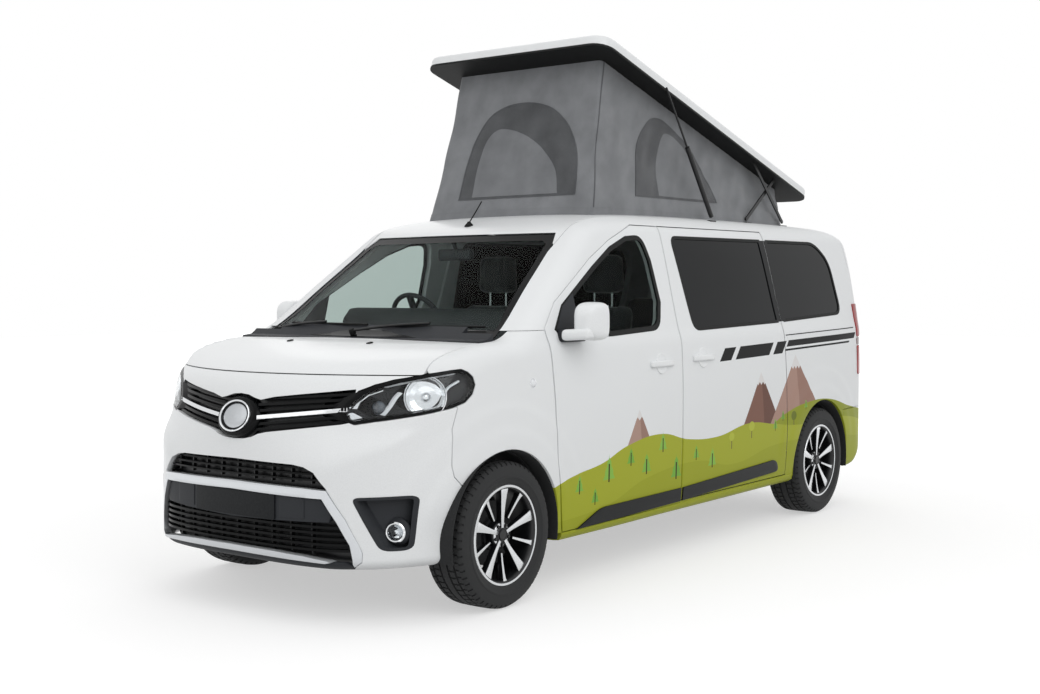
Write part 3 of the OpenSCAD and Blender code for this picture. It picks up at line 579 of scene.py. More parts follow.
def thicken(o, wall):
    # faces the skin outwards, then gives it a wall on the inner side
    centre = Vector((axleX - 1.6, 0, 1.0))
    face = o.data.polygons[len(o.data.polygons) // 2]
    if face.normal.dot(face.center - centre) < 0:
        o.data.flip_normals()
    return modify(o, "SOLIDIFY", thickness=wall, offset=-1)


def prism(outline, axis, low, high, grow=0.0):
    # a flat face drawn on its outline, then extruded along axis
    points = np.array(outline, float)
    if grow:
        points = offsetLoop(points, grow)
    bpy.ops.mesh.primitive_circle_add(vertices=len(points), radius=1, fill_type="NGON")
    o = bpy.context.object
    for w, (a, b) in zip(o.data.vertices, points):
        w.co = {"y": (a + axleX, low, b), "z": (a + axleX, b, low), "x": (low, a, b)}[axis]
    editAll(o)
    shift = {"y": (0, high - low, 0), "z": (0, 0, high - low), "x": (high - low, 0, 0)}[axis]
    bpy.ops.mesh.extrude_region_move(TRANSFORM_OT_translate={"value": shift})
    leaveEdit()
    editAll(o)
    bpy.ops.mesh.normals_make_consistent(inside=False)
    leaveEdit()
    return o


def offsetLoop(points, grow):
    area = (points[:, 0] * np.roll(points[:, 1], -1) - np.roll(points[:, 0], -1) * points[:, 1]).sum()

    def outward(d):
        n = np.stack([d[:, 1], -d[:, 0]], 1)
        return n / np.maximum(np.linalg.norm(n, axis=1), 1e-9)[:, None]

    before, after = outward(points - np.roll(points, 1, 0)), outward(np.roll(points, -1, 0) - points)
    total = before + after
    return points + np.sign(area) * grow * total / np.maximum((total * before).sum(1), 0.4)[:, None]


def block(low, high, bevel=0.0, segments=3):
    low, high = Vector(low), Vector(high)
    bpy.ops.mesh.primitive_cube_add(size=1, location=(low + high) / 2)
    o = bpy.context.object
    o.scale = high - low
    bpy.ops.object.transform_apply(location=True, rotation=True, scale=True)
    if bevel:
        modify(o, "BEVEL", width=bevel, segments=segments)
    return o


def cornersOf(o):
    co = np.array([v.co for v in o.data.vertices]).reshape(-1, 3)
    return (co.min(0), co.max(0)) if len(co) else (np.full(3, 9.0), np.full(3, -9.0))


def cut(o, tool, operation="DIFFERENCE", keep=False):
    # tries the quick solver, and takes the exact one if the result is empty or has caught the tool's own shape
    low, high = cornersOf(o)
    for solver in ("FAST", "EXACT"):
        before = o.data.copy()
        modify(o, "BOOLEAN", object=tool, operation=operation, solver=solver)
        newLow, newHigh = cornersOf(o)
        if len(o.data.vertices) and (newLow > low - 0.002).all() and (newHigh < high + 0.002).all():
            break
        print("  retry", o.name, solver)
        if solver == "FAST":
            o.data = before
    if not keep:
        bpy.data.objects.remove(tool)
    return o


def dress(o, mat):
    o.data.materials.clear()
    o.data.materials.append(mat)


def easeEdges(o, bevel):
    if bevel:
        modify(o, "BEVEL", width=bevel, segments=2, limit_method="ANGLE", angle_limit=math.radians(40))


def finish(o, mat, body, name, stands=(), bevel=0.0, angle=35):
    easeEdges(o, bevel)
    only(o)
    bpy.ops.object.transform_apply(location=True, rotation=True, scale=True)
    bpy.ops.object.shade_smooth_by_angle(angle=math.radians(angle))
    if mat:
        dress(o, mat)
    o.name = name
    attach(o, body)
    if stands:
        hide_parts(*stands)
    return o


def mirrored(o, name):
    twin = o.copy()
    twin.data = o.data.copy()
    twin.parent = None
    for key in list(twin.keys()):
        if key.startswith("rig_"):
            del twin[key]
    scene.collection.objects.link(twin)
    twin.name = name
    twin.data.transform(Matrix.Scale(-1, 4, (0, 1, 0)))
    twin.data.flip_normals()
    return twin


def pair(o, mat, name, bodies, angle=40, nodes=None):
    # finishes a left-hand piece and its mirrored twin, which may stand for a pair of nodes
    twin = mirrored(o, name + "_right")
    for piece, side, body in ((o, "left", bodies[0]), (twin, "right", bodies[1])):
        finish(piece, mat, body, f"{name}_{side}", (f"{nodes}_{side}",) if nodes else (), angle=angle)
    return o, twin


def bothSides(o, mat, name, bodies, nodes=None, bevel=0.0):
    easeEdges(o, bevel)
    return pair(o, mat, name, bodies, 35, nodes)


doorBodies, vanBodies = ("front_door_left", "front_door_right"), ("van", "van")
sideWords = ((1, "left"), (-1, "right"))
makeCamera(cameraSet)
lamps = {"key": ((axleX + 2.0, 7.5, 6.0), (0, 0, 1.0), 6.0, 190),   # place, aim, size, watts
         "fill": ((axleX + 6.0, -2.5, 4.5), (axleX, 0, 0.8), 5.0, 45),
         "back": ((tailX - 4.0, -6.0, 6.0), (0, 0, 1.0), 6.0, 50)}
for lamp in lamps.values():
    softLamp(*lamp)


def seenRays(mat):
    # 1 for rays that reach the eye straight, by a mirror or through glass, else 0
    rays = add(mat, "LightPath")
    first = add(mat, "Math", {0: (rays, "Is Camera Ray"), 1: (rays, "Is Glossy Ray")}, operation="MAXIMUM")
    seen = add(mat, "Math", {0: (first, "Value"), 1: (rays, "Is Transmission Ray")}, operation="MAXIMUM")
    return (seen, "Value")


# pale floor that shows white to the camera and keeps the shadow
floorPaper, floorShader = material("pressedPaper", "#C4C4C4", 0.9)
grain(floorPaper, floorShader, 0.002, 0.0001, tint=("#C2C2C2", "#C6C6C6"))
floorPlace = add(floorPaper, "TexCoord")
floorReach = add(floorPaper, "VectorMath", {0: (floorPlace, "Object")}, operation="LENGTH")
floorFade = add(floorPaper, "MapRange",
    {"Value": (floorReach, "Value"), "From Min": 3.0, "From Max": 8.0, "To Min": 0.5, "To Max": 1.0},
    interpolation_type="SMOOTHSTEP")
floorGlow = add(floorPaper, "Math", {0: seenRays(floorPaper), 1: (floorFade, "Result")}, operation="MULTIPLY")
join(floorPaper, floorGlow, "Value", floorShader, "Emission Strength")
floorShader.inputs["Emission Color"].default_value = (1, 1, 1, 1)
bpy.ops.mesh.primitive_plane_add(size=60, location=(0, 0, -0.0005))
floorSheet = bpy.context.object
floorSheet.data.materials.append(floorPaper)

world = bpy.data.worlds.new("studio")
scene.world = world
world.use_nodes = True
sky = world.node_tree.nodes["Background"]
sky.inputs["Color"].default_value = (1, 1, 1, 1)
level = add(world, "MapRange", {"Value": seenRays(world), "To Min": 0.78, "To Max": 1.0})
world.node_tree.links.new(level.outputs["Result"], sky.inputs["Strength"])
print("camera, lamps and floor set")

# body panels: each is the skin cut by its outline in side view, so neighbours share a shut line

rail = 1.792        # top of the doors
noseLine = 1.085    # height of the shut line across the nose
panels = {
    "frontDoor": [(-0.436, 0.287), (-0.38, 0.62), (-0.368, 0.95), (-0.35, 1.2), (-0.34, 1.27), (-0.467, 1.392),
        (-0.85, 1.61), (-1.06, 1.705), (-1.24, 1.767), (-1.32, rail), (-1.585, rail), (-1.545, 1.25),
        (-1.53, 0.75), (-1.526, 0.287)],
    "frontWindow": rounded(
        [(-0.425, 1.262), (-0.48, 1.215), (-0.9, 1.22), (-1.36, 1.238), (-1.425, 1.38), (-1.42, 1.6),
            (-1.385, 1.736), (-1.225, 1.724), (-1.05, 1.665), (-0.85, 1.562), (-0.52, 1.374)], 0.07, (3, 6)),
    "slidingDoor": [(-1.533, 0.302), (-1.537, 0.75), (-1.552, 1.25), (-1.592, rail), (-2.79, rail),
        (-2.765, 1.14), (-2.775, 0.64), (-2.775, 0.302)],
    "slidingWindow": rounded([(-1.715, 1.222), (-1.682, 1.737), (-2.735, 1.739), (-2.73, 1.242)], 0.06, (0, 1)),
    "quarterWindow": rounded([(-2.808, 1.245), (-2.82, 1.739), (-3.5, 1.739), (-3.655, 1.62), (-3.66, 1.275)],
        0.085, (2, 3, 4)),
    "lamp": [(0.2, 1.035), (0.212, 1.07), (0.238, 1.093), (0.27, 1.107), (0.32, 1.103), (0.41, 1.089),
        (0.505, 1.067), (0.559, 1.046), (0.602, 1.02), (0.638, 0.977), (0.667, 0.928), (0.66, 0.893),
        (0.644, 0.877), (0.6, 0.89), (0.522, 0.906), (0.428, 0.923), (0.327, 0.942), (0.26, 0.962),
        (0.218, 0.995)],
    "bumper": [(0.9, 0.2), (0.367, 0.2), (0.275, 0.58), (0.332, 0.64), (0.34, 0.68), (0.333, 0.846),
        (0.303, 0.94), (0.33, 0.965), (0.45, 0.95), (0.6, 0.93), (0.68, 0.91), (0.9, 0.91)]}
gap = 0.0025          # half a shut line
archRadius = 0.392    # of the wheel openings
walls = {"door": 0.042, "side": 0.055, "wing": 0.02, "bonnet": 0.022, "roof": 0.026, "tailgate": 0.035,
    "bumper": 0.03}


def archTool(x, low=0.5, high=1.1):
    bpy.ops.mesh.primitive_cylinder_add(vertices=96, radius=archRadius, depth=high - low,
        location=(x, (low + high) / 2, hubHeight), rotation=(math.pi / 2, 0, 0))
    return only(bpy.context.object)


def sidePrism(key, grow=0.0, low=0.3, high=1.1):
    return prism(panels[key] if isinstance(key, str) else key, "y", low, high, grow)


def cutBoth(o, outline, inner, grow=0.0):
    # the same cut on the left and on the right, from inner outwards
    for low, high in ((inner, 1.1), (-1.1, -inner)):
        cut(o, prism(outline, "y", low, high, grow))


def cutArches(o, x):
    for low, high in ((0.5, 1.1), (-1.1, -0.5)):
        cut(o, archTool(x, low, high))


def sideSheet(name, outline, margin, columns, rows, lift, wall):
    # a sheet of the side's surface that reaches margin past an outline
    xs = [x for x, z in outline]
    return thicken(patch(name, "side", (min(xs) - margin, max(xs) + margin, columns), rows, lift), wall)


def makeFrontDoor():
    o = patch("front_door_skin", "side", (-1.64, -0.3, 76), (-56, 62, 96))
    thicken(o, walls["door"])
    cut(o, sidePrism("frontDoor", -gap), "INTERSECT")
    cut(o, sidePrism("frontWindow"))
    return o


def makeSlidingDoor():
    o = patch("sliding_door_skin", "side", (-2.83, -1.48, 76), (-56, 62, 96))
    thicken(o, walls["door"])
    cut(o, sidePrism("slidingDoor", -gap), "INTERSECT")
    cut(o, sidePrism("slidingWindow"))
    return o


def makeBodySide():
    o = patch("body_side_skin", "side", (-4.0, -0.05, 200), (-56, 75, 110))
    thicken(o, walls["side"])
    for key in ("frontDoor", "slidingDoor"):
        cut(o, sidePrism(key, gap))
    cut(o, sidePrism("quarterWindow"))
    cut(o, archTool(rearX))
    cut(o, block((axleX - 0.431, 0.3, 0.1), (axleX + 0.2, 1.1, 1.262)))     # the wing starts here
    cut(o, block((tailX - 0.1, -0.1, 0.1), (axleX - 3.575, 1.1, 0.646)))    # rear bumper
    cut(o, block((tailX - 0.2, 0.0, 0.6), (tailX + 0.158, sideW - 0.147, 1.95)))   # tailgate
    cut(o, block((tailX - 0.2, 0.0, 1.5), (axleX + 0.2, 0.662, 1.95)))
    cut(o, screenTool(0.006))
    return o


def screenTool(grow):
    # the windscreen's outline seen from the front, run back along the van
    w0, w1 = 0.768 + grow, 0.634 + grow
    ring = [(-w0, 1.228 - grow), (w0, 1.228 - grow), (w0 - 0.04, 1.36), (w1 + 0.012, 1.68),
        (w1 - 0.025, 1.735 + grow), (-w1 + 0.025, 1.735 + grow), (-w1 - 0.012, 1.68), (-w0 + 0.04, 1.36)]
    return prism(ring, "x", axleX - 0.93, axleX + 0.1)


def makeFrontWing():
    o = patch("front_wing_skin", "side", (-0.5, 0.52, 60), (-50, 50, 80))
    thicken(o, walls["wing"])
    ring = [(-0.428, 0.2), (-0.428, 0.287), (-0.378, 0.62), (-0.363, 0.95), (-0.345, 1.2), (-0.337, 1.262),
        (-0.25, 1.262), (0.52, 1.262), (0.52, 0.2)]
    cut(o, sidePrism(ring, -gap), "INTERSECT")
    cut(o, sidePrism("bumper", gap))
    cut(o, sidePrism("lamp", gap, 0.4))
    cut(o, archTool(axleX))
    cut(o, block((axleX + 0.037, 0.0, noseLine - gap), (axleX + 0.9, sideW - 0.1575, 1.4)))
    cut(o, block((axleX - 0.36, 0.0, 1.17), (axleX + 0.037, sideW - 0.155, 1.4)))
    return o


def makeBonnet():
    o = patch("bonnet_skin", "top", (0.0, 0.75, 90), (-0.84, 0.84, 110))
    thicken(o, walls["bonnet"])
    ring = [(0.042, -0.797), (0.8, -0.797), (0.8, 0.797), (0.042, 0.797)]
    cut(o, prism(ring, "z", noseLine + gap, 1.4), "INTERSECT")
    cutBoth(o, panels["lamp"], 0.54, gap)
    return o


def makeRoof():
    o = patch("roof_skin", "top", (-3.96, -0.7, 150), (-0.68, 0.68, 60))
    thicken(o, walls["roof"])
    cut(o, block((tailX + 0.161, -0.658, 1.6), (axleX - 0.74, 0.658, 2.0)), "INTERSECT")
    cut(o, screenTool(0.006))
    return o


def makeTailgate():
    o = patch("tailgate_skin", "tail", (120, 240, 110), (0.62, 1.87, 90))
    thicken(o, walls["tailgate"])
    cut(o, block((tailX - 0.1, -sideW + 0.152, 0.652), (tailX + 0.152, sideW - 0.152, 1.93)), "INTERSECT")
    cut(o, prism(tailWindow, "x", tailX - 0.1, tailX + 0.2))
    return o


tailWindow = rounded([(-0.69, 1.24), (0.69, 1.24), (0.63, 1.72), (-0.63, 1.72)], 0.09)


def makeRearBumper():
    o = patch("rear_bumper_skin", "tail", (78, 282, 170), (0.235, 0.66, 40))
    thicken(o, walls["bumper"])
    cut(o, block((tailX - 0.1, -1.1, 0.2), (axleX - 3.577, 1.1, 0.642)), "INTERSECT")
    cutArches(o, rearX)
    return o


def sides(points, side):
    return [(side * y, z) for y, z in points]


def bothHalves(points):
    # points run from the middle at the top, round the left side, to the middle at the bottom
    return points + [(-y, z) for y, z in reversed(points[1:-1])]


grilleOutline = bothHalves([(0, 0.994), (0.05, 0.99), (0.095, 0.977), (0.13, 0.97), (0.2, 0.985), (0.332, 1.0),
    (0.468, 1.014), (0.575, 1.026), (0.58, 1.0), (0.562, 0.93), (0.578, 0.885), (0.542, 0.877), (0.365, 0.855),
    (0.191, 0.833), (0.145, 0.823), (0.11, 0.808), (0.06, 0.798), (0, 0.796)])


def makeNosePanel():
    o = patch("nose_skin", "nose", (-62, 62, 150), (0.85, 1.125, 60))
    thicken(o, walls["wing"])
    cut(o, block((axleX + 0.3, -0.9, 0.86), (axleX + 0.9, 0.9, noseLine - gap)), "INTERSECT")
    cut(o, prism(grilleOutline, "x", axleX + 0.3, axleX + 0.95, 0.001))
    cutBoth(o, panels["lamp"], 0.4, gap)
    cut(o, prism(panels["bumper"], "y", -1.1, 1.1, gap))
    return o


def makeFrontBumper():
    o = patch("front_bumper_skin", "nose", (-84, 84, 190), (0.235, 0.95, 80))
    thicken(o, walls["bumper"])
    cut(o, prism(panels["bumper"], "y", -1.1, 1.1, -gap), "INTERSECT")
    for side, low, high in ((1, 0.5, 1.1), (-1, -1.1, -0.5)):
        cut(o, archTool(axleX, low, high))
        cut(o, prism(sides(fogOutline, side), "x", axleX + 0.3, axleX + 0.85))
    cut(o, prism(mouthOutline, "x", axleX + 0.5, axleX + 0.95))
    cut(o, prism(grilleOutline, "x", axleX + 0.3, axleX + 0.95, 0.001))
    cutBoth(o, panels["lamp"], 0.4, gap)
    return o


fogOutline = rounded([(0.628, 0.57), (0.825, 0.573), (0.804, 0.334), (0.722, 0.336)], 0.03)
mouthOutline = bothHalves([(0, 0.708), (0.36, 0.702), (0.42, 0.694), (0.474, 0.673), (0.534, 0.607),
    (0.61, 0.476), (0.655, 0.368), (0.668, 0.33), (0.665, 0.29), (0.6, 0.24), (0, 0.24)])


def plainInside(pieces):
    # the print is on the outer faces only, the inner ones keep their enamel
    for piece, side in zip(pieces, (1, -1)):
        piece.data.materials.append(bodyPaint)
        for f in piece.data.polygons:
            f.material_index = int(f.normal.y * side < -0.1)


edge = 0.0018     # how far panel edges are rolled
for make, name, bodies, nodes in ((makeFrontWing, "wing_skin", vanBodies, "front_wing"),
        (makeFrontDoor, "door_skin", doorBodies, "front_door"),
        (makeSlidingDoor, "slider_skin", vanBodies, "sliding_door"),
        (makeBodySide, "side_skin", vanBodies, "body_side")):
    plainInside(bothSides(make(), decalPaint, name, bodies, nodes, edge))
print("side panels cut")
for make, mat, body, name, nodes in ((makeBonnet, bodyPaint, "bonnet", "bonnet_skin", ("bonnet",)),
        (makeRoof, bodyPaint, "van", "roof_skin", ("roof_panel",)),
        (makeTailgate, bodyPaint, "tailgate", "tailgate_skin", ("tailgate",)),
        (makeRearBumper, decalPaint, "van", "rear_bumper_skin", ("rear_bumper",)),
        (makeFrontBumper, bodyPaint, "van", "front_bumper_skin", ("front_bumper",)),
        (makeNosePanel, bodyPaint, "van", "nose_skin", ())):
    finish(make(), mat, body, name, nodes, edge)
print("bonnet, roof, tailgate and bumpers cut")

# nose: grilles, bars, badge disc, plate, lamps


def noseStrip(name, outline, lift, wall, mat, bevel=0.0, reach=46, rows=24):
    # a strip of the nose's own surface, held lift in front of it, cut to an outline drawn in front view
    zs = [z for y, z in outline]
    o = patch(name, "nose", (-reach, reach, 110), (max(min(zs) - 0.02, 0.236), max(zs) + 0.02, rows), lift)
    thicken(o, wall)
    cut(o, prism(outline, "x", axleX + 0.3, axleX + 0.98), "INTERSECT")
    return finish(o, mat, "van", name, (), bevel)


def bar(y0, y1, z0, z1, high, dip=0.0):
    # a bar drawn in front view from y0 to y1, whose middle line goes from z0 to z1
    n = 8
    line = [(y0 + (y1 - y0) * i / n, z0 + (z1 - z0) * i / n - dip * math.sin(math.pi * i / n))
        for i in range(n + 1)]
    return [(y, z + high / 2) for y, z in line] + [(y, z - high / 2) for y, z in reversed(line)]


grilleBack = noseStrip("grille_back", grilleOutline, -0.045, 0.01, blackAlloy, reach=50, rows=30)
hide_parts("front_grille")
for side, word in sideWords:
    noseStrip("chrome_bar_" + word, sides(bar(0.11, 0.56, 0.892, 0.94, 0.017), side), -0.001, 0.02, chromePlate,
        0.004)
    for i, (z0, z1) in enumerate([(0.975, 1.006), (0.948, 0.984), (0.921, 0.962), (0.862, 0.91),
            (0.838, 0.888)]):
        noseStrip(f"grille_bar_{word}_{i}", sides(bar(0.11, 0.575 if i < 3 else 0.56, z0, z1, 0.012), side),
            -0.014, 0.025, glossPlastic, 0.003)
    noseStrip("fog_cup_" + word, sides(fogOutline, side), -0.03, 0.012, trimPlastic, reach=62)
noseStrip("mouth_back", mouthOutline, -0.07, 0.01, blackAlloy, rows=40)
noseStrip("mouth_frame",
    bothHalves([(0, 0.61), (0.41, 0.604), (0.535, 0.598), (0.609, 0.474), (0.655, 0.366), (0.666, 0.33),
        (0.664, 0.292), (0.632, 0.268), (0.635, 0.3), (0.625, 0.364), (0.576, 0.466), (0.516, 0.562),
        (0.41, 0.564), (0, 0.572)]), 0.002, 0.03, frameSilver, 0.006)
noseStrip("plate_panel", bothHalves([(0, 0.568), (0.5, 0.556), (0.545, 0.49), (0.535, 0.46), (0, 0.445)]),
    -0.014, 0.02, trimPlastic, 0.004)
noseStrip("lower_strip",
    bothHalves([(0, 0.322), (0.25, 0.319), (0.42, 0.31), (0.54, 0.297), (0.556, 0.29), (0.53, 0.284),
        (0.4, 0.287), (0.2, 0.291), (0, 0.293)]), 0.014, 0.04, frameSilver, 0.007)
noseStrip("chin", bothHalves([(0, 0.3), (0.5, 0.292), (0.6, 0.29), (0.63, 0.27), (0.6, 0.24), (0, 0.24)]),
    -0.004, 0.02, trimPlastic, 0.004)
for i, z in enumerate((0.437, 0.412, 0.387, 0.362, 0.337)):
    noseStrip(f"mouth_bar_{i}", bar(-0.625 + i * 0.002, 0.625 - i * 0.002, z, z, 0.011), -0.016, 0.03,
        glossPlastic, 0.003)
for i, z in enumerate((0.688, 0.663, 0.638)):
    noseStrip(f"slot_bar_{i}", bar(-0.44 - 0.03 * i, 0.44 + 0.03 * i, z, z, 0.008), -0.022, 0.03, glossPlastic,
        0.002)
for i in range(9):
    y = -0.44 + 0.11 * i
    for part, z0, z1 in (("low", 0.3, 0.45), ("slot", 0.62, 0.7)):
        noseStrip(f"upright_{part}_{i}", [(y - 0.003, z0), (y + 0.003, z0), (y + 0.003, z1), (y - 0.003, z1)],
            -0.034, 0.02, blackAlloy, rows=8)
print("grilles and bars made")

# glass, seals and the dark frame round the windscreen
for key, name, mat, slot, bodies, nodes in (
        ("frontWindow", "door_glass", tintGlass, "clear_glass", doorBodies, "front_door_glass"),
        ("slidingWindow", "slider_glass", privacyGlass, "privacy_glass", vanBodies, None),
        ("quarterWindow", "quarter_glass", privacyGlass, "privacy_glass", vanBodies, None)):
    pane = sideSheet(name, panels[key], 0.03, 40, (0, 62, 40), -0.004, 0.004)
    cut(pane, sidePrism(key, -0.001), "INTERSECT")
    pair(pane, mat, name, bodies, 35, nodes)
    if key == "slidingWindow":
        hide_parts("side_glass")

# a band of the skin that follows each window's outline, on both sides of its edge
for key, name, bodies, width in (
        ("frontWindow", "door_seal", doorBodies, 0.02),
        ("slidingWindow", "slider_seal", vanBodies, 0.012),
        ("quarterWindow", "quarter_seal", vanBodies, 0.012)):
    band = sideSheet(name, panels[key], 0.06, 60, (0, 64, 60), 0.001, 0.012)
    cut(band, sidePrism(key, 0.006), "INTERSECT")
    cut(band, sidePrism(key, -width))
    pair(band, sealRubber, name, bodies, 35)


def screenPatch(name, lift, wall, grow, inner=None):
    # the windscreen's own surface: rays forwards and up from inside the cabin
    us, vs = np.linspace(-0.8, 0.8, 60), np.linspace(1.18, 1.78, 40)
    bpy.ops.mesh.primitive_grid_add(x_subdivisions=59, y_subdivisions=39, size=1)
    o = bpy.context.object
    o.name = name
    gu, gv = (g.ravel() for g in np.meshgrid(us, vs, indexing="ij"))
    ahead = np.tile([1.0, 0.0, 0.0], (len(gu), 1))
    start = np.stack([gu * 0 + axleX - 1.3, gu, gv], 1)
    points = skinPoint(start, ahead, 0.0, 1.8) + np.array([0.5, 0, 0.86]) * lift
    for spot, index in zip(points, gridOrder(o)):
        o.data.vertices[index].co = spot
    thicken(o, wall)
    cut(o, screenTool(grow), "INTERSECT")
    if inner is not None:
        cut(o, screenTool(inner))
    return o


finish(screenPatch("windscreen_glass", -0.006, 0.005, 0.0), clearGlass, "van", "windscreen_glass",
    ("windscreen",))
finish(screenPatch("windscreen_frit", -0.0045, 0.004, 0.002, -0.035), glossPlastic, "van", "windscreen_frit")

tailGlass = patch("tailgate_pane", "tail", (120, 240, 60), (1.2, 1.74, 30), -0.004)
thicken(tailGlass, 0.004)
cut(tailGlass, prism(tailWindow, "x", tailX - 0.1, tailX + 0.2, -0.001), "INTERSECT")
finish(tailGlass, privacyGlass, "tailgate", "tailgate_pane", ("tailgate_glass",))
print("glass made")

# wheels: modelled once about the origin, outer face towards +Y, then copied to the four corners

pole = 0.0001   # radius of a point that closes a turned shape at its axis


def turned(name, profile, steps=96, axis=(0, 1, 0), centre=(0, 0, 0)):
    # profile is a closed loop of (radius, along), spun about the axis
    bpy.ops.mesh.primitive_circle_add(vertices=len(profile), radius=1, fill_type="NOTHING")
    o = bpy.context.object
    o.name = name
    across = Vector((0, 0, 1)) if abs(axis[2]) < 0.9 else Vector((1, 0, 0))
    along = Vector(axis).normalized()
    across = (across - along * across.dot(along)).normalized()
    for w, (r, t) in zip(o.data.vertices, profile):
        w.co = Vector(centre) + across * r + along * t
    editAll(o)
    bpy.ops.mesh.spin(steps=steps, angle=2 * math.pi, center=centre, axis=along)
    bpy.ops.mesh.select_all(action="SELECT")
    bpy.ops.mesh.remove_doubles(threshold=0.00005)
    bpy.ops.mesh.normals_make_consistent(inside=False)
    leaveEdit()
    return o


def selectFaces(o, wanted):
    only(o)
    bpy.ops.object.mode_set(mode="EDIT")
    bpy.ops.mesh.select_mode(type="FACE")
    bpy.ops.mesh.select_all(action="DESELECT")
    leaveEdit()
    for f in o.data.polygons:
        f.select = wanted(f)
    bpy.ops.object.mode_set(mode="EDIT")


def joined(objects, name):
    deselectAll()
    for o in objects:
        o.select_set(True)
    bpy.context.view_layer.objects.active = objects[0]
    bpy.ops.object.join()
    objects[0].name = name
    return objects[0]


tyreShape = {"radius": 0.338, "half": 0.1125, "bead": 0.219, "grooves": (-0.062, -0.022, 0.022, 0.062),
    "blocks": 58}


def makeTyre(t):
    outer = []
    for g in t["grooves"]:
        outer += [(t["radius"] - abs(g) * 0.02, g - 0.0055), (t["radius"] - 0.008, g - 0.004),
            (t["radius"] - 0.008, g + 0.004), (t["radius"] - abs(g) * 0.02, g + 0.0055)]
    wall = [(0.3345, 0.088), (0.327, 0.099), (0.318, 0.1045), (0.314, 0.1065), (0.31, 0.1075), (0.292, 0.112),
        (0.272, 0.1125), (0.27, 0.1145), (0.264, 0.1145), (0.262, 0.1125), (0.245, 0.109), (0.234, 0.1035),
        (0.231, 0.1), (0.226, 0.0995), (t["bead"], 0.094)]
    loop = [(r, -y) for r, y in reversed(wall)] + outer + wall
    o = turned("tyre", loop, t["blocks"] * 4)
    pitch = 2 * math.pi / t["blocks"]

    def isSipe(f):
        r, y = math.hypot(f.center.x, f.center.z), f.center.y
        spot = (math.atan2(f.center.z, f.center.x) + y * 1.6) % pitch / pitch
        ribs = abs(abs(y) - 0.042) < 0.012 or abs(y) > 0.068
        return r > 0.321 and ribs and spot < 0.25

    selectFaces(o, isSipe)
    bpy.ops.mesh.extrude_region_move()
    bpy.ops.transform.shrink_fatten(value=-0.005)
    leaveEdit()
    return o


# each spoke: half width at steps along it, where it starts, and how far it lies back at the hub
rimShape = {
    "arms": 5,
    "face": 0.096,
    "wide": (((0.0, 0.0085), (0.3, 0.011), (0.6, 0.0155), (0.85, 0.021), (1.0, 0.026)), 0.03, 0.0),
    "narrow": (((0.0, 0.005), (0.3, 0.006), (0.7, 0.0075), (0.9, 0.0095), (1.0, 0.014)), 0.085, 0.01)}


def makeRim(r):
    barrel = turned("rim_barrel",
        [(0.229, 0.104), (0.232, 0.1), (0.231, 0.092), (0.222, 0.088), (0.217, -0.09), (0.23, -0.098),
            (0.226, -0.102), (0.205, -0.09), (0.203, 0.06), (0.206, 0.086), (0.214, 0.1), (0.219, 0.104)], 96)
    arms = []
    for i in range(2 * r["arms"]):
        turn = math.pi * i / r["arms"] + math.pi / 2
        widths, inner, drop = r["narrow"] if i % 2 else r["wide"]
        along = np.array([math.cos(turn), math.sin(turn)])
        across = np.array([-along[1], along[0]])
        start, end = along * inner, along * 0.213
        loop = [start + (end - start) * t + across * w for t, w in widths]
        loop += [start + (end - start) * t - across * w for t, w in reversed(widths)]
        arm = prism([(a - axleX, b) for a, b in loop], "y", 0.05, r["face"])
        for v in arm.data.vertices:
            reach = min(math.hypot(v.co.x, v.co.z) / 0.213, 1.0)
            if v.co.y > 0.08:
                v.co.y -= 0.014 * (1 - reach) + 0.004 * math.sin(math.pi * reach) + drop * (1 - reach) ** 0.5
            else:
                v.co.y += 0.01 * reach
        modify(arm, "BEVEL", width=0.0016, segments=2)
        arms.append(arm)
    hub = turned("rim_hub",
        [(pole, 0.082), (0.03, 0.082), (0.034, 0.08), (0.038, 0.076), (0.046, 0.078), (0.056, 0.074),
            (0.062, 0.066), (0.062, 0.03), (pole, 0.03)], 64)
    bolts = []
    for i in range(5):
        a = 2 * math.pi * (i + 0.5) / 5 + math.pi / 2
        bolts.append(turned("bolt",
            [(pole, 0.083), (0.007, 0.083), (0.0085, 0.081), (0.0085, 0.07), (pole, 0.07)], 6,
            centre=(0.049 * math.cos(a), 0, 0.049 * math.sin(a))))
    rim = joined([barrel] + arms + [hub], "rim")
    return rim, joined(bolts, "rim_bolts")


def faceFinish(o, front, rest, limit=0.8):
    # bright metal on the outer faces and the lip, the rest in the pocket's finish
    dress(o, rest)
    o.data.materials.append(front)
    for f in o.data.polygons:
        reach = math.hypot(f.center.x, f.center.z)
        bright = abs(f.normal.y) > limit and f.center.y * f.normal.y > 0 and reach > 0.045
        lip = reach > 0.224 and f.center.y > 0.095
        f.material_index = 1 if (bright and f.center.y > 0.07) or lip else 0


tyreModel = makeTyre(tyreShape)
rimModel, boltModel = makeRim(rimShape)
faceFinish(rimModel, turnedAlloy, blackAlloy)
capPlate = turned("cap", [(pole, 0.0865), (0.0225, 0.0862), (0.0235, 0.084), (pole, 0.083)], 48)
capRing = turned("cap_ring",
    [(0.0235, 0.0865), (0.0245, 0.0878), (0.0275, 0.0878), (0.0285, 0.086), (0.0285, 0.081), (0.0235, 0.081)],
    48)
capModel = joined([capPlate, capRing], "cap")
brakeDisc = turned("disc",
    [(0.02, 0.03), (0.075, 0.03), (0.078, 0.012), (0.15, 0.012), (0.15, 0.004), (0.145, 0.002), (0.15, 0.0),
        (0.15, -0.01), (0.02, -0.01)], 72)
caliper = block((0.09, -0.02, -0.06), (0.165, 0.035, 0.06), 0.008)
brakeModel = joined([brakeDisc, caliper], "brake")


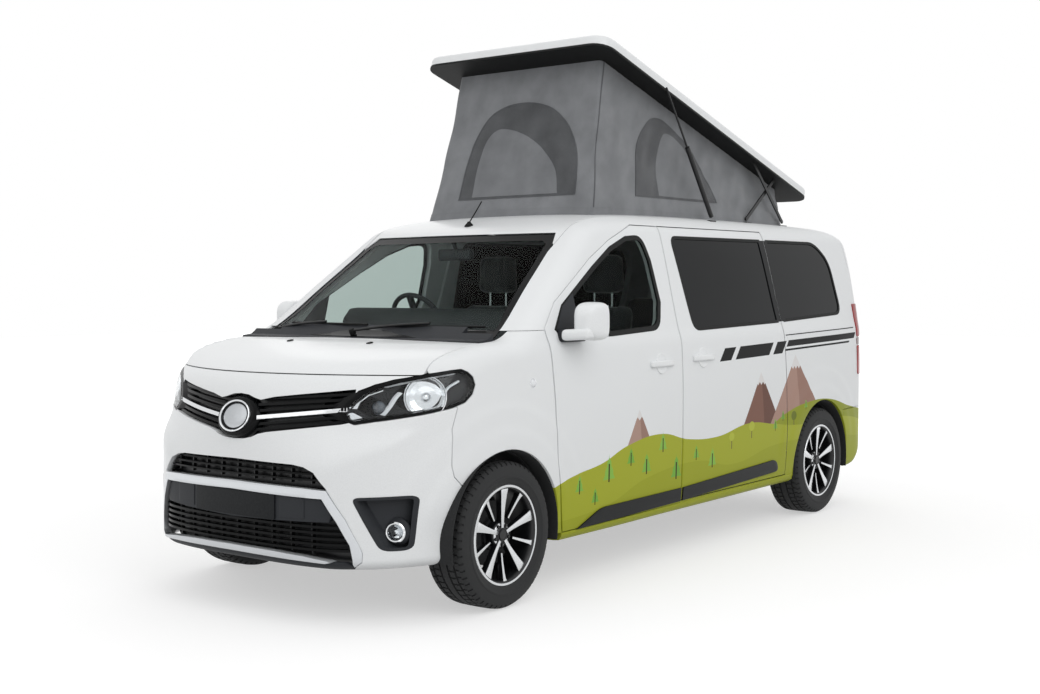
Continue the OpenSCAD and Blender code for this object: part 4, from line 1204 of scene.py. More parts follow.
def setWheel(corner, centre, side):
    body = f"wheel_{corner}"
    for model, mat, name, stands, slotName in (
            (tyreModel, tyreRubber, "tyre_", (f"tyre_{corner}",), "tyre_rubber"),
            (rimModel, None, "alloy_", (f"rim_{corner}",), "rim_alloy"),
            (boltModel, blackAlloy, "bolts_", (), "rim_alloy"), (capModel, blackAlloy, "cap_", (), "rim_alloy"),
            (brakeModel, castIron, "brake_", (), None)):
        o = model.copy()
        o.data = model.data.copy()
        scene.collection.objects.link(o)
        o.data.transform(Matrix.Translation(centre) @ Matrix.Scale(side, 4, (0, 1, 0)))
        if side < 0:
            o.data.flip_normals()
        finish(o, mat, body, name + corner + "_piece", stands, angle=40)


for corner, centre in (("front", frontWheel), ("rear", rearWheel)):
    for side, word in sideWords:
        setWheel(f"{corner}_{word}", Vector((centre.x, side * centre.y, hubHeight)), side)
for model in (tyreModel, rimModel, boltModel, capModel, brakeModel):
    bpy.data.objects.remove(model)
print("wheels made")

# headlamps: dark tray, mask, projector, faceted reflector, light strips, rim and clear cover


def onNose(x, z):
    # the skin point at this length and height on the left of the nose, and its outward normal
    turn = np.radians(np.linspace(5, 86, 400))
    start = np.stack([turn * 0 + axleX - 0.1, turn * 0, turn * 0 + z], 1)
    hits = skinPoint(start, np.stack([np.cos(turn), np.sin(turn), turn * 0], 1), 0.0, 1.6)
    spot = hits[np.abs(hits[:, 0] - axleX - x).argmin()]
    slope = np.array([depth(spot[None] + d)[0] - depth(spot[None] - d)[0] for d in np.eye(3) * 0.004])
    return Vector(spot), Vector(slope).normalized()


def strip(points, width):
    # an outline of constant width along a line of (x, z) points
    p = smoothOpen(points)
    d = np.gradient(p, axis=0)
    n = np.stack([-d[:, 1], d[:, 0]], 1) / np.linalg.norm(d, axis=1)[:, None] * width / 2
    return [tuple(q) for q in np.vstack([p + n, (p - n)[::-1]])]


def smoothOpen(points, steps=6):
    p = np.array(points, float)
    t = np.linspace(0, len(p) - 1, (len(p) - 1) * steps + 1)
    i = np.minimum(t.astype(int), len(p) - 2)
    f = (t - i)[:, None]
    m = np.gradient(p, axis=0)
    return ((2 * f**3 - 3 * f**2 + 1) * p[i] + (f**3 - 2 * f**2 + f) * m[i] + (3 * f**2 - 2 * f**3) * p[i + 1]
            + (f**3 - f**2) * m[i + 1])


def oval(cx, cz, rx, rz, n=28, tilt=0.0):
    ring = [(rx * math.cos(2 * math.pi * i / n), rz * math.sin(2 * math.pi * i / n)) for i in range(n)]
    c, t = math.cos(tilt), math.sin(tilt)
    return [(cx + a * c - b * t, cz + a * t + b * c) for a, b in ring]


def lampPart(name, outline, lift, wall, mat, grow=0.0, holes=()):
    o = patch(name, "nose", (26, 84, 90), (0.85, 1.125, 50), lift)
    thicken(o, wall)
    cut(o, prism(outline, "y", 0.35, 1.1, grow), "INTERSECT")
    for hole, shrink in holes:
        cut(o, prism(hole, "y", 0.35, 1.1, shrink))
    return pair(o, mat, name, vanBodies, 35)[0]


lampShape = {
    "reflector": oval(0.437, 0.994, 0.084, 0.062, tilt=-0.35),
    "projector": oval(0.578, 0.955, 0.03, 0.046),
    "tipUpper": [(0.64, 0.945), (0.635, 0.972), (0.61, 0.996), (0.572, 1.02), (0.535, 1.035), (0.54, 1.019),
        (0.575, 0.999), (0.6, 0.97), (0.612, 0.942)],
    "tipLower": [(0.655, 0.914), (0.622, 0.926), (0.607, 0.905), (0.644, 0.89)]}
lampEdge = panels["lamp"]
tray = lampPart("lamp_tray", lampEdge, -0.07, 0.004, glossPlastic, -0.002)
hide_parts("headlights")
lampPart("lamp_rim", lampEdge, -0.001, 0.04, glossPlastic, -0.001, ((lampEdge, -0.013),))
lampPart("lamp_mask", lampEdge, -0.026, 0.006, lampBlack, -0.01,
    tuple((lampShape[k], 0.0) for k in ("reflector", "projector", "tipUpper", "tipLower")))
lampPart("lamp_cover", lampEdge, 0.0005, 0.0025, lampCover, -0.0125)
lampPart("lamp_tip", lampShape["tipUpper"], -0.02, 0.02, mirrorFacet)
lampPart("lamp_tip_low", lampShape["tipLower"], -0.022, 0.02, mirrorFacet)
lampPart("lamp_strip_top", strip([(0.53, 1.04), (0.493, 1.052), (0.41, 1.074), (0.29, 1.093)], 0.013), -0.016,
    0.008, lightGuide)
lampPart("lamp_strip_mid", strip([(0.56, 0.916), (0.536, 0.954), (0.515, 0.991), (0.498, 1.012)], 0.008),
    -0.018, 0.008, lightGuide)
lampPart("lamp_strip_end",
    strip([(0.43, 0.935), (0.375, 0.95), (0.354, 0.99), (0.332, 1.028), (0.275, 1.056)], 0.008), -0.018, 0.008,
    lightGuide)


def lampBowl(name, x, z, radius, deep, dome, mat, steps, angle):
    spot, out = onNose(x, z)
    aim = (out + Vector((0.35, 0, 0))).normalized()
    centre = spot - out * 0.03
    rings = [(radius, 0.0), (radius * 0.96, -0.3 * deep), (radius * 0.8, -0.6 * deep),
        (radius * 0.55, -0.85 * deep), (radius * 0.25, -0.97 * deep), (pole, -deep), (pole, -deep - 0.003),
        (radius * 0.6, -0.9 * deep - 0.003), (radius * 0.84, -0.62 * deep), (radius + 0.003, -0.3 * deep),
        (radius + 0.004, 0.0)]
    bowl = turned(name, rings, steps, aim, centre)
    lens = turned(name + "_lens",
        [(pole, dome * 0.55), (dome * 0.5, dome * 0.47), (dome * 0.85, dome * 0.2), (dome, -0.004),
            (dome, -deep * 0.7), (pole, -deep * 0.7)], 40, aim, centre)
    for part, finishMat, turnAngle in ((bowl, mat, angle),
            (lens, mirrorFacet if steps < 40 else projectorLens, 40)):
        pair(part, finishMat, part.name, vanBodies, turnAngle)


lampBowl("reflector_bowl", 0.437, 0.994, 0.09, 0.034, 0.017, mirrorFacet, 26, 12)
lampBowl("projector_bowl", 0.582, 0.953, 0.042, 0.036, 0.033, glossPlastic, 48, 40)

# badge place: dark bulge, plated ring and a plain disc
farAhead = 9.0
badgeSpot = onNose(farAhead, 0.894)[0]
badge = {
    "squash": 0.73,
    "bulge": [(pole, 0.008), (0.108, 0.008), (0.12, 0.003), (0.13, -0.01), (0.1345, -0.03), (0.1345, -0.06),
        (pole, -0.06)],
    "ring": [(0.087, 0.008), (0.0885, 0.016), (0.093, 0.019), (0.0985, 0.017), (0.1, 0.008), (0.098, 0.002),
        (0.089, 0.002)],
    "disc": [(pole, 0.017), (0.04, 0.0155), (0.07, 0.012), (0.0745, 0.01), (0.076, 0.004), (pole, 0.004)]}
badgeSpot.y = 0
for part, mat, slotName in (
        ("bulge", glossPlastic, "gloss_black"),
        ("ring", chromePlate, None),
        ("disc", silverPaint, None)):
    o = turned("badge_" + part, badge[part], 96, (0.97, 0, 0.243), badgeSpot)
    flatten = Matrix.Diagonal((1, 1, badge["squash"], 1))
    o.data.transform(Matrix.Translation(badgeSpot) @ flatten @ Matrix.Translation(-badgeSpot))
    finish(o, mat, "van", "badge_" + part)

# fog lamps, each in its recess
fogParts = {
    "cone": ([(0.046, 0.012), (0.062, -0.006), (0.062, -0.02), (0.046, -0.02)], trimPlastic, "black_plastic"),
    "ring": ([(0.035, 0.012), (0.036, 0.018), (0.041, 0.02), (0.046, 0.016), (0.047, 0.0), (0.035, 0.0)],
        chromePlate, None),
    "bowl": ([(0.035, 0.012), (0.028, -0.006), (0.014, -0.014), (pole, -0.016), (pole, -0.018),
        (0.036, -0.018)], mirrorFacet, "lamp_glass"),
    "bulb": ([(pole, 0.008), (0.008, 0.005), (0.01, -0.002), (0.01, -0.014), (pole, -0.014)], mirrorFacet,
        "lamp_glass"),
    "glass": ([(pole, 0.019), (0.02, 0.017), (0.0345, 0.013), (0.0345, 0.011), (0.02, 0.015),
        (pole, 0.017)], lampCover, "lamp_glass")}
for side, word in sideWords:
    collar = patch("fog_collar", "nose", (side * 30, side * 66, 60), (0.29, 0.58, 30), 0.0008)
    thicken(collar, 0.045)
    outline = sides(fogOutline, side)
    cut(collar, prism(outline, "x", axleX + 0.3, axleX + 0.9, -0.0005), "INTERSECT")
    cut(collar, prism(outline, "x", axleX + 0.3, axleX + 0.9, -0.013))
    finish(collar, trimPlastic, "van", "fog_collar_" + word, (), 0.003)
    spot, out = onNose(0.573, 0.413)
    aim = Vector((0.9, side * 0.43, 0)).normalized()
    spot = Vector((spot.x, side * spot.y, spot.z)) - aim * 0.035
    for part, (profile, mat, slotName) in fogParts.items():
        finish(turned("fog_" + part, profile, 40 if part != "bowl" else 18, aim, spot), mat, "van",
            f"fog_{part}_{word}", angle=30 if part != "bowl" else 10)

# blank plates
noseStrip("front_plate", [(-0.262, 0.455), (0.262, 0.455), (0.262, 0.567), (-0.262, 0.567)], -0.006, 0.012,
    plateBlank, 0.003, reach=24, rows=12)
for side, word in sideWords:
    noseStrip("plate_wing_" + word, sides([(0.285, 0.466), (0.42, 0.47), (0.42, 0.558), (0.285, 0.562)], side),
        -0.0115, 0.012, trimPlastic, 0.003, rows=12)
print("lamps, badge disc and plates made")

# raising roof: shell in its own lengthwise axes, then set at its slope

slope = math.radians(16.3)
shellLow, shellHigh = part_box("roof_shell")
shell = {"length": 2.57, "half": 0.638, "corner": 0.1}
shell["rear"] = Vector((shellHigh.x - shell["length"] * math.cos(slope), 0, shellLow.z))
shellPlace = Matrix.Translation(shell["rear"]) @ Matrix.Rotation(-slope, 4, "Y")


def roundedPlan(rear, front, half, corner, along=24, across=16, bend=5):
    # starts in the middle of the rear edge, goes round by the right side; the same count for any size
    corners = []
    for cx, cy, start in ((rear, -half, 180), (front, -half, 270), (front, half, 0), (rear, half, 90)):
        mx, my = cx + (corner if cx == rear else -corner), cy + (corner if cy < 0 else -corner)
        turns = [math.radians(start + 90 * i / bend) for i in range(bend + 1)]
        corners.append([(mx + corner * math.cos(a), my + corner * math.sin(a)) for a in turns])
    out = []
    for k, count in enumerate((along, across, along, across)):
        a, b = corners[k][-1], corners[(k + 1) % 4][0]
        out += corners[k]
        out += [(a[0] + (b[0] - a[0]) * t / count, a[1] + (b[1] - a[1]) * t / count) for t in range(1, count)]
    return out


def shellPart(name, grow, low, high, steps, mat):
    ring = roundedPlan(-grow, shell["length"] + grow, shell["half"] + grow, shell["corner"], bend=6)
    o = prism([(x - axleX, y) for x, y in ring], "z", low, high)
    for wide, rise in steps:
        selectFaces(o, lambda f: f.normal.z > 0.9 and f.center.z > high - 0.001 and len(f.vertices) > 20)
        bpy.ops.mesh.inset(thickness=wide, depth=rise)
        leaveEdit()
    o.data.transform(shellPlace)
    return finish(o, mat, "raising_roof", name, angle=50)


shellTop = shellPart("shell_top", 0.0, 0.016, 0.052,
    ((0.003, 0.01), (0.009, 0.008), (0.026, 0.007), (0.04, 0.004)), gelCoat)
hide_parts("roof_shell")
shellPart("shell_edge", 0.0015, 0.006, 0.018, (), sealRubber)
shellPart("shell_lining", -0.03, 0.007, 0.0165, (), shellLining)

# tent: one cloth round four walls, from the roof's surface up to the shell

tent = {"rear": -3.422, "front": -1.185, "half": 0.577, "topRear": -3.47, "topFront": -1.4, "topHalf": 0.505,
    "corner": 0.028, "sag": 0.012, "fold": 0.006, "waves": ((21, 5, 0.5), (47, -9, 0.3), (9, 14, 0.6))}


def tentPoints(rows, v0=0.0, v1=1.0, lift=0.0):
    # rows of points up the walls, with soft folds that hang between roof and shell
    foot = np.array(roundedPlan(tent["rear"], tent["front"], tent["half"], tent["corner"], 90, 48))
    head = np.array(roundedPlan(tent["topRear"], tent["topFront"], tent["topHalf"], tent["corner"], 90, 48))
    start = np.stack([foot[:, 0] + axleX, foot[:, 1], foot[:, 0] * 0 + 1.2], 1)
    floor = skinPoint(start, np.tile([0.0, 0.0, 1.0], (len(foot), 1)), 0.0, 1.2)[:, 2] - 0.001
    ceiling = shell["rear"].z + (head[:, 0] + axleX - shell["rear"].x) * math.tan(slope) + 0.006
    low = np.column_stack([foot[:, 0] + axleX, foot[:, 1], floor])
    high = np.column_stack([head[:, 0] + axleX, head[:, 1], ceiling])
    run = np.concatenate([[0], np.cumsum(np.linalg.norm(np.diff(low, axis=0, append=low[:1]), axis=1))])
    out = np.gradient(foot, axis=0)
    out = np.column_stack([out[:, 1], -out[:, 0], out[:, 0] * 0])
    out /= np.maximum(np.linalg.norm(out, axis=1), 1e-9)[:, None]
    grid = []
    tall = np.linalg.norm(high - low, axis=1)
    for v in np.linspace(v0, v1, rows):
        q = low + (high - low) * v
        hang = math.sin(math.pi * v)
        wave = sum(np.sin(run[:-1] * often + v * drift) * share for often, drift, share in tent["waves"])
        pull = tent["fold"] * wave * hang - tent["sag"] * hang * np.clip(tall / 0.6, 0, 1)
        pull += 0.0015 * np.sin(run[:-1] * 95) * (math.exp(-v * 14) + math.exp(-(1 - v) * 14))
        grid.append(q + out * np.minimum(pull, 0.0)[:, None] + out * lift)
    return np.array(grid), run, tall


def tentSheet(name, rows, v0, v1, lift, wall, columns=None):
    grid, run, tall = tentPoints(rows, v0, v1, lift)
    count = grid.shape[1]
    closed = columns is None
    wanted = list(range(count)) + [0] if closed else list(columns)
    bpy.ops.mesh.primitive_grid_add(x_subdivisions=len(wanted) - 1, y_subdivisions=rows - 1, size=1)
    o = bpy.context.object
    order = gridOrder(o)
    o.data.uv_layers[0].name = "weave"
    spots = [(i, j) for i in range(len(wanted)) for j in range(rows)]
    flat = {}
    for (i, j), index in zip(spots, order):
        c = wanted[i]
        o.data.vertices[index].co = grid[j, c % count]
        lengthwise = run[-1] if closed and i == len(wanted) - 1 else run[c % count]
        flat[int(index)] = (lengthwise, tall[c % count] * (v0 + (v1 - v0) * j / (rows - 1)))
    for loop in o.data.loops:
        o.data.uv_layers[0].data[loop.index].uv = flat[loop.vertex_index]
    middle = o.data.polygons[len(o.data.polygons) // 2]
    if middle.normal.dot(middle.center - Vector((axleX - 2.3, 0, middle.center.z))) < 0:
        o.data.flip_normals()
    if closed:
        editAll(o)
        bpy.ops.mesh.remove_doubles(threshold=0.0001)
        leaveEdit()
    modify(o, "SOLIDIFY", thickness=wall, offset=-1)
    o.name = name
    return o


def softRoof(o, mat):
    finish(o, mat, "van", o.name, angle=60)
    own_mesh(o)
    return o


canvas = softRoof(tentSheet("tent_sheet", 40, 0.0, 1.0, 0.0, 0.0016), tentCanvas)
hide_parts("tent_canvas")
grid, run, tall = tentPoints(3)
softRoof(tentSheet("tent_hem", 4, 0.0, 0.05, 0.0022, 0.0016), tentHem)
frontTall = smoothOpen([(-0.366, 1.965), (-0.343, 2.192), (-0.31, 2.329), (-0.214, 2.445), (-0.094, 2.497),
    (0.055, 2.5), (0.191, 2.465), (0.299, 2.389), (0.374, 2.295), (0.424, 2.176), (0.445, 2.059),
    (0.45, 1.965)])
sideTall = smoothOpen([(-1.655, 1.972), (-1.697, 2.199), (-1.761, 2.322), (-1.857, 2.405), (-1.933, 2.43),
    (-2.032, 2.42), (-2.2, 2.35), (-2.341, 2.262), (-2.45, 2.159), (-2.542, 2.047), (-2.574, 1.972)])
frontCurtain = smoothOpen([(-0.271, 1.975), (-0.265, 2.157), (-0.233, 2.293), (-0.154, 2.359), (-0.038, 2.348),
    (0.108, 2.285), (0.22, 2.196), (0.297, 2.096), (0.329, 1.975)])
sideCurtain = smoothOpen([(-1.9, 1.982), (-1.91, 2.12), (-1.95, 2.27), (-2.03, 2.35), (-2.16, 2.33),
    (-2.3, 2.24), (-2.4, 2.13), (-2.45, 1.982)])


def tentWindow(name, outline, axis, side, lift, wall, mat, holes=()):
    o = tentSheet(name, 60, 0.0, 1.0, lift, wall)
    span = {"x": (axleX - 1.6, axleX - 1.0), "y": (0.4, 0.7) if side > 0 else (-0.7, -0.4)}[axis]
    cut(o, prism(outline, axis, *span), "INTERSECT")
    for grow in holes:
        cut(o, prism(outline, axis, *span, grow))
    softRoof(o, mat)


for tag, outline, curtain, axis, side in (
        ("front", frontTall, frontCurtain, "x", 1),
        ("left", sideTall, sideCurtain, "y", 1),
        ("right", sideTall, sideCurtain, "y", -1)):
    tentWindow("tent_mesh_" + tag, outline, axis, side, 0.0022, 0.0014, tentMesh)
    tentWindow("tent_curtain_" + tag, curtain, axis, side, 0.003, 0.0014, tentCurtain)
    tentWindow("tent_binding_" + tag, [tuple(q) for q in offsetLoop(np.array(outline), 0.003)], axis, side,
        0.0034, 0.002, tentBinding, (-0.0075,))
for tag, column in (("rear_right", 4), ("front_right", 95), ("front_left", 152), ("rear_left", 244)):
    seam = tentSheet("tent_seam_" + tag, 40, 0.0, 1.0, 0.002, 0.0016, (column, column + 1))
    softRoof(seam, tentBinding)
for node in ("roof_arms_main", "roof_arms_second", "strut_tubes", "strut_rods"):
    dress(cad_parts[node], coatedSteel)
print("raising roof and tent made")

# small outside parts


def tube(name, points, radius, mat, body, sharp=False):
    line = bpy.data.curves.new(name, "CURVE")
    line.dimensions, line.bevel_depth, line.bevel_resolution, line.use_fill_caps = "3D", radius, 4, True
    run = line.splines.new("POLY")
    path = points if sharp else [tuple(q) for q in smoothOpen(points, 5)]
    run.points.add(len(path) - 1)
    for spot, q in zip(run.points, path):
        spot.co = (*q, 1)
    o = bpy.data.objects.new(name, line)
    scene.collection.objects.link(o)
    only(o)
    bpy.ops.object.convert(target="MESH")
    return finish(bpy.context.object, mat, body, name, angle=60)


def onTop(x, y, start=1.2):
    # the skin point straight above start at this place
    return skinPoint(np.array([[x, y, start]]), np.array([[0.0, 0.0, 1.0]]), 0.0, 1.0)[0]


def onSide(x, z):
    # the skin point on the left side at this length and height, with its outward normal
    start = np.array([[x + axleX, 0.2, z]])
    spot = skinPoint(start, np.array([[0.0, 1.0, 0.0]]), 0.0, 1.2)[0]
    slopes = np.array([depth(spot[None] + d)[0] - depth(spot[None] - d)[0] for d in np.eye(3) * 0.004])
    return Vector(spot), Vector(slopes).normalized()


def sidePiece(name, outline, lift, wall, mat, bodies, bevel=0.0):
    # a piece of the left side's own surface, cut by its outline in side view, with its mirrored twin
    xs = [x for x, z in outline]
    o = sideSheet(name, outline, 0.02, max(12, int((max(xs) - min(xs)) / 0.02)), (-56, 62, 90), lift, wall)
    cut(o, sidePrism(outline), "INTERSECT")
    return bothSides(o, mat, name, bodies, None, bevel)


mouldings = {
    "door_moulding": (doorBodies,
        rounded([(-0.55, 0.286), (-1.521, 0.3), (-1.521, 0.372), (-0.75, 0.366)], 0.05, (3,))),
    "slider_moulding": (vanBodies,
        rounded([(-1.541, 0.301), (-2.67, 0.338), (-2.63, 0.412), (-1.541, 0.372)], 0.05, (1, 2)))}
for name, (bodies, outline) in mouldings.items():
    sidePiece(name, outline, 0.012, 0.022, satinBlack, bodies, 0.009)
sidePiece("mirror_panel", [(-0.435, 1.262), (-0.48, 1.226), (-0.63, 1.224), (-0.63, 1.434), (-0.52, 1.37)],
    0.002, 0.02, trimPlastic, doorBodies, 0.002)
# thin dark rubber strip along the sliding door's rail: the rail's gap is real, its dark colour is painted shade
# of that gap
sidePiece("slide_rail_painted_shade", [(-2.785, 1.156), (-3.81, 1.175), (-3.81, 1.181), (-2.785, 1.162)], 0.0008, 0.006,
    sealRubber, vanBodies)
# dark glass carried over the pillar between the two rear windows, split at the shut line
sidePiece("pillar_front", [(-2.72, 1.242), (-2.722, 1.739), (-2.7865, 1.739), (-2.7665, 1.2435)], 0.0012, 0.006,
    privacyGlass, vanBodies)
sidePiece("pillar_back", [(-2.7925, 1.739), (-2.7725, 1.2435), (-2.83, 1.2445), (-2.835, 1.739)], 0.0012, 0.006,
    privacyGlass, vanBodies)
sidePiece("sill_trim", [(-0.43, 0.243), (-0.43, 0.282), (-2.8, 0.297), (-2.87, 0.297), (-2.85, 0.262)], 0.003,
    0.02, decalPaint, vanBodies, 0.003)

# door handles: a dished recess with a lifted grip across it
for name, x, z, bodies in (
        ("front_handle", -1.327, 1.056, doorBodies),
        ("slider_handle", -1.765, 1.068, vanBodies)):
    spot, out = onSide(x, z)
    grip = block((spot.x - 0.112, spot.y + 0.014, spot.z - 0.02),
        (spot.x + 0.112, spot.y + 0.036, spot.z + 0.02), 0.01, 4)
    for v in grip.data.vertices:
        t = (v.co.x - spot.x) / 0.112
        v.co.y -= 0.02 * t * t
        v.co.z += (v.co.z - spot.z) * (0.25 - 0.5 * t * t)
    pair(grip, bodyPaint, name, bodies, 50)
    dish = turned(name + "_dish",
        [(0.056, -0.001), (0.055, 0.004), (0.052, 0.0052), (0.048, 0.004), (0.036, 0.001), (pole, 0.0005),
            (pole, -0.004), (0.056, -0.004)], 56, out, spot)
    pair(dish, bodyPaint, name + "_dish", bodies, 60)
    for end in (-1, 1):
        spot, out = onSide(x + end * 0.092, z)
        foot = block((spot.x - 0.012, spot.y - 0.004, spot.z - 0.012),
            (spot.x + 0.012, spot.y + 0.016, spot.z + 0.012), 0.004)
        pair(foot, bodyPaint, f"{name}_foot_{'back' if end < 0 else 'front'}", bodies)

# side repeater on the wing
spot, out = onSide(-0.2, 1.02)
pair(
    turned("repeater",
        [(pole, 0.006), (0.01, 0.0052), (0.016, 0.003), (0.018, 0.0), (0.018, -0.003), (pole, -0.003)], 32,
        out, spot), lightGuide, "repeater", vanBodies)
pair(
    turned("repeater_rim", [(0.018, -0.002), (0.018, 0.002), (0.0205, 0.0025), (0.022, 0.0), (0.022, -0.002)],
        32, out, spot), chromePlate, "repeater_rim", vanBodies)

# door mirrors: painted shell, dark foot, mirror glass behind
mirrorShape = {"low": (axleX - 0.61, 0.962, 1.208), "high": (axleX - 0.44, 1.1, 1.392)}
low, high = Vector(mirrorShape["low"]), Vector(mirrorShape["high"])
case = block(low, high)
modify(case, "SUBSURF", levels=3, render_levels=3, subdivision_type="SIMPLE")
middle, halfSize = (low + high) / 2, (high - low) / 2
for v in case.data.vertices:
    q = Vector(((v.co.x - middle.x) / halfSize.x, (v.co.y - middle.y) / halfSize.y,
        (v.co.z - middle.z) / halfSize.z))
    power = 4.5
    q *= max(abs(c) for c in q) / max(
        (abs(q.x) ** power + abs(q.y) ** power + abs(q.z) ** power) ** (1 / power), 1e-6)
    nose = max(0.0, q.x)
    q.y *= 1 - 0.3 * nose ** 2
    q.z *= 1 - 0.34 * nose ** 2
    v.co = middle + Vector((q.x * halfSize.x, q.y * halfSize.y, q.z * halfSize.z))
modify(case, "SUBSURF", levels=1, render_levels=1)
hollow = block((low.x - 0.02, low.y + 0.014, low.z + 0.014), (low.x + 0.018, high.y - 0.014, high.z - 0.014),
    0.02, 4)
cut(case, hollow)
case, caseRight = pair(case, bodyPaint, "mirror_shell", doorBodies, 50)
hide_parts("door_mirror_left")
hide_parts("door_mirror_right")
pane = block((low.x + 0.012, low.y + 0.016, low.z + 0.016), (low.x + 0.016, high.y - 0.016, high.z - 0.016),
    0.0015, 2)
pair(pane, mirrorPane, "mirror_pane", doorBodies)
foot = block((axleX - 0.575, 0.93, 1.208), (axleX - 0.42, 1.082, 1.262), 0.02, 4)
for v in foot.data.vertices:
    t = (v.co.y - 0.93) / 0.152
    v.co.x += 0.02 * (1 - t) - 0.012
    v.co.z += 0.008 * t
pair(foot, bodyPaint, "mirror_arm", doorBodies, 50)
root = block((axleX - 0.615, 0.885, 1.2), (axleX - 0.435, 0.952, 1.262), 0.016, 4)
pair(root, trimPlastic, "mirror_foot", doorBodies)

# aerial, washer nozzles, wipers, cabin mirror
roofSpot = onTop(axleX - 0.865, 0.0)
finish(
    turned("aerial_foot",
        [(pole, 0.024), (0.008, 0.023), (0.013, 0.014), (0.024, 0.003), (0.026, -0.006), (pole, -0.006)],
        40, (0, 0, 1), Vector(roofSpot)), sealRubber, "van", "aerial_foot")
whip = [tuple(roofSpot + np.array(q)) for q in ([-0.002, 0, 0.018], [-0.055, 0, 0.075], [-0.108, 0, 0.135])]
tube("aerial_whip", whip, 0.0035, sealRubber, "van")
for i, y in enumerate((0.27, -0.27)):
    spot = onTop(axleX + 0.2, y, 0.8)
    jet = block((spot[0] - 0.014, y - 0.011, spot[2] - 0.002), (spot[0] + 0.014, y + 0.011, spot[2] + 0.008),
        0.003)
    for v in jet.data.vertices:
        if v.co.x > spot[0]:
            v.co.z -= 0.004
    finish(jet, sealRubber, "bonnet", f"washer_jet_{i}")


def onScreen(y, z, lift=0.0):
    spot = skinPoint(np.array([[axleX - 1.3, y, z]]), np.array([[1.0, 0.0, 0.0]]), 0.0, 1.8)[0]
    return tuple(spot + np.array([0.5, 0, 0.86]) * lift)


for i, (y0, y1, pivot) in enumerate(((0.68, 0.08, 0.2), (-0.02, -0.62, -0.42))):
    ys = [y0 + (y1 - y0) * t / 8 for t in range(9)]
    blade = [onScreen(y, 1.272 + 0.004 * i, 0.007) for y in ys]
    tube(f"wiper_blade_{i}", blade, 0.006, sealRubber, "van")
    mid = onScreen((y0 + y1) / 2, 1.276, 0.02)
    root = onScreen(pivot - 0.25, 1.236, 0.02)
    tube(f"wiper_arm_{i}", [root, tuple((Vector(root) + Vector(mid)) / 2 + Vector((0.004, 0, 0.006))), mid],
        0.0065, coatedSteel, "van")
    finish(
        turned(f"wiper_cap_{i}",
            [(pole, 0.012), (0.012, 0.01), (0.016, 0.0), (0.016, -0.02), (pole, -0.02)], 32, (0.5, 0, 0.86),
            Vector(root)), sealRubber, "van", f"wiper_cap_{i}")
finish(block((axleX - 0.77, -0.115, 1.605), (axleX - 0.735, 0.115, 1.668), 0.012, 4), trimPlastic, "van",
    "cabin_mirror")
finish(
    turned("cabin_mirror_stem", [(pole, 0.05), (0.016, 0.05), (0.011, 0.03), (0.009, 0.0), (pole, 0.0)], 24,
        (0.35, 0, 0.9), Vector((axleX - 0.752, 0, 1.66))), trimPlastic, "van", "cabin_mirror_stem")

# tail: stacked lamps, handle strip, plate, wiper, high lamp
for side, word in sideWords:
    for part, z0, z1, mat, lift in (
            ("upper", 1.115, 1.335, redLens, 0.006),
            ("lower", 0.862, 1.055, redLens, 0.006),
            ("band", 1.062, 1.108, tailBand, 0.004)):
        o = patch("tail_lamp", "tail", (180 - side * 72, 180 - side * 40, 60), (z0 - 0.03, z1 + 0.03, 26), lift)
        thicken(o, 0.03)
        cut(o,
            block((tailX - 0.1, min(side * 0.814, side * 1.0), z0),
                (tailX + 0.235, max(side * 0.814, side * 1.0), z1), 0.012), "INTERSECT")
        stands = ("tail_lights",) if (part, word) == ("upper", "left") else ()
        finish(o, mat, "van", f"tail_lamp_{part}_{word}", stands, 0.004)


def tailStrip(name, outline, lift, wall, mat, bevel, body="tailgate"):
    # a strip of the tail's own surface, cut to an outline drawn from behind
    zs = [z for y, z in outline]
    o = patch(name, "tail", (122, 238, 90), (min(zs) - 0.02, max(zs) + 0.02, 20), lift)
    thicken(o, wall)
    cut(o, prism(outline, "x", tailX - 0.1, tailX + 0.3), "INTERSECT")
    return finish(o, mat, body, name, (), bevel)


tailStrip("tailgate_band",
    [(-0.4, 0.965), (0.4, 0.965), (0.42, 1.0), (0.38, 1.035), (-0.38, 1.035), (-0.42, 1.0)], 0.004, 0.02,
    bodyPaint, 0.006)
tailStrip("tailgate_grip", [(-0.2, 0.968), (0.2, 0.968), (0.19, 0.99), (-0.19, 0.99)], 0.006, 0.02, sealRubber,
    0.003)
tailStrip("rear_plate", [(-0.262, 0.82), (0.262, 0.82), (0.262, 0.93), (-0.262, 0.93)], 0.006, 0.008,
    plateBlank, 0.003)
tailStrip("high_lamp", [(-0.16, 1.752), (0.16, 1.752), (0.15, 1.775), (-0.15, 1.775)], 0.004, 0.012, redLens,
    0.003)
tailStrip("bumper_step", [(-0.7, 0.6), (0.7, 0.6), (0.74, 0.575), (-0.74, 0.575)], 0.003, 0.015, trimPlastic,
    0.003, "van")
for side, word in sideWords:
    tailStrip("reflector_" + word, sides([(0.56, 0.42), (0.72, 0.42), (0.72, 0.455), (0.56, 0.455)], side),
        0.003, 0.012, redLens, 0.004, "van")
rearY = [(0.02 - 0.44 * t / 6) for t in range(7)]
behind = skinPoint(np.array([[axleX - 3.3, y, 1.27] for y in rearY]), np.tile([-1.0, 0.0, 0.0], (7, 1)), 0.0,
    1.2)
tube("rear_wiper", [tuple(q - np.array([0.008, 0, 0])) for q in behind], 0.0055, sealRubber, "tailgate")
finish(
    turned("rear_wiper_cap", [(pole, 0.02), (0.02, 0.016), (0.026, 0.0), (0.026, -0.01), (pole, -0.01)], 40,
        (-1, 0, 0), Vector(behind[0]) + Vector((0, 0, -0.012))), sealRubber, "tailgate", "rear_wiper_cap")

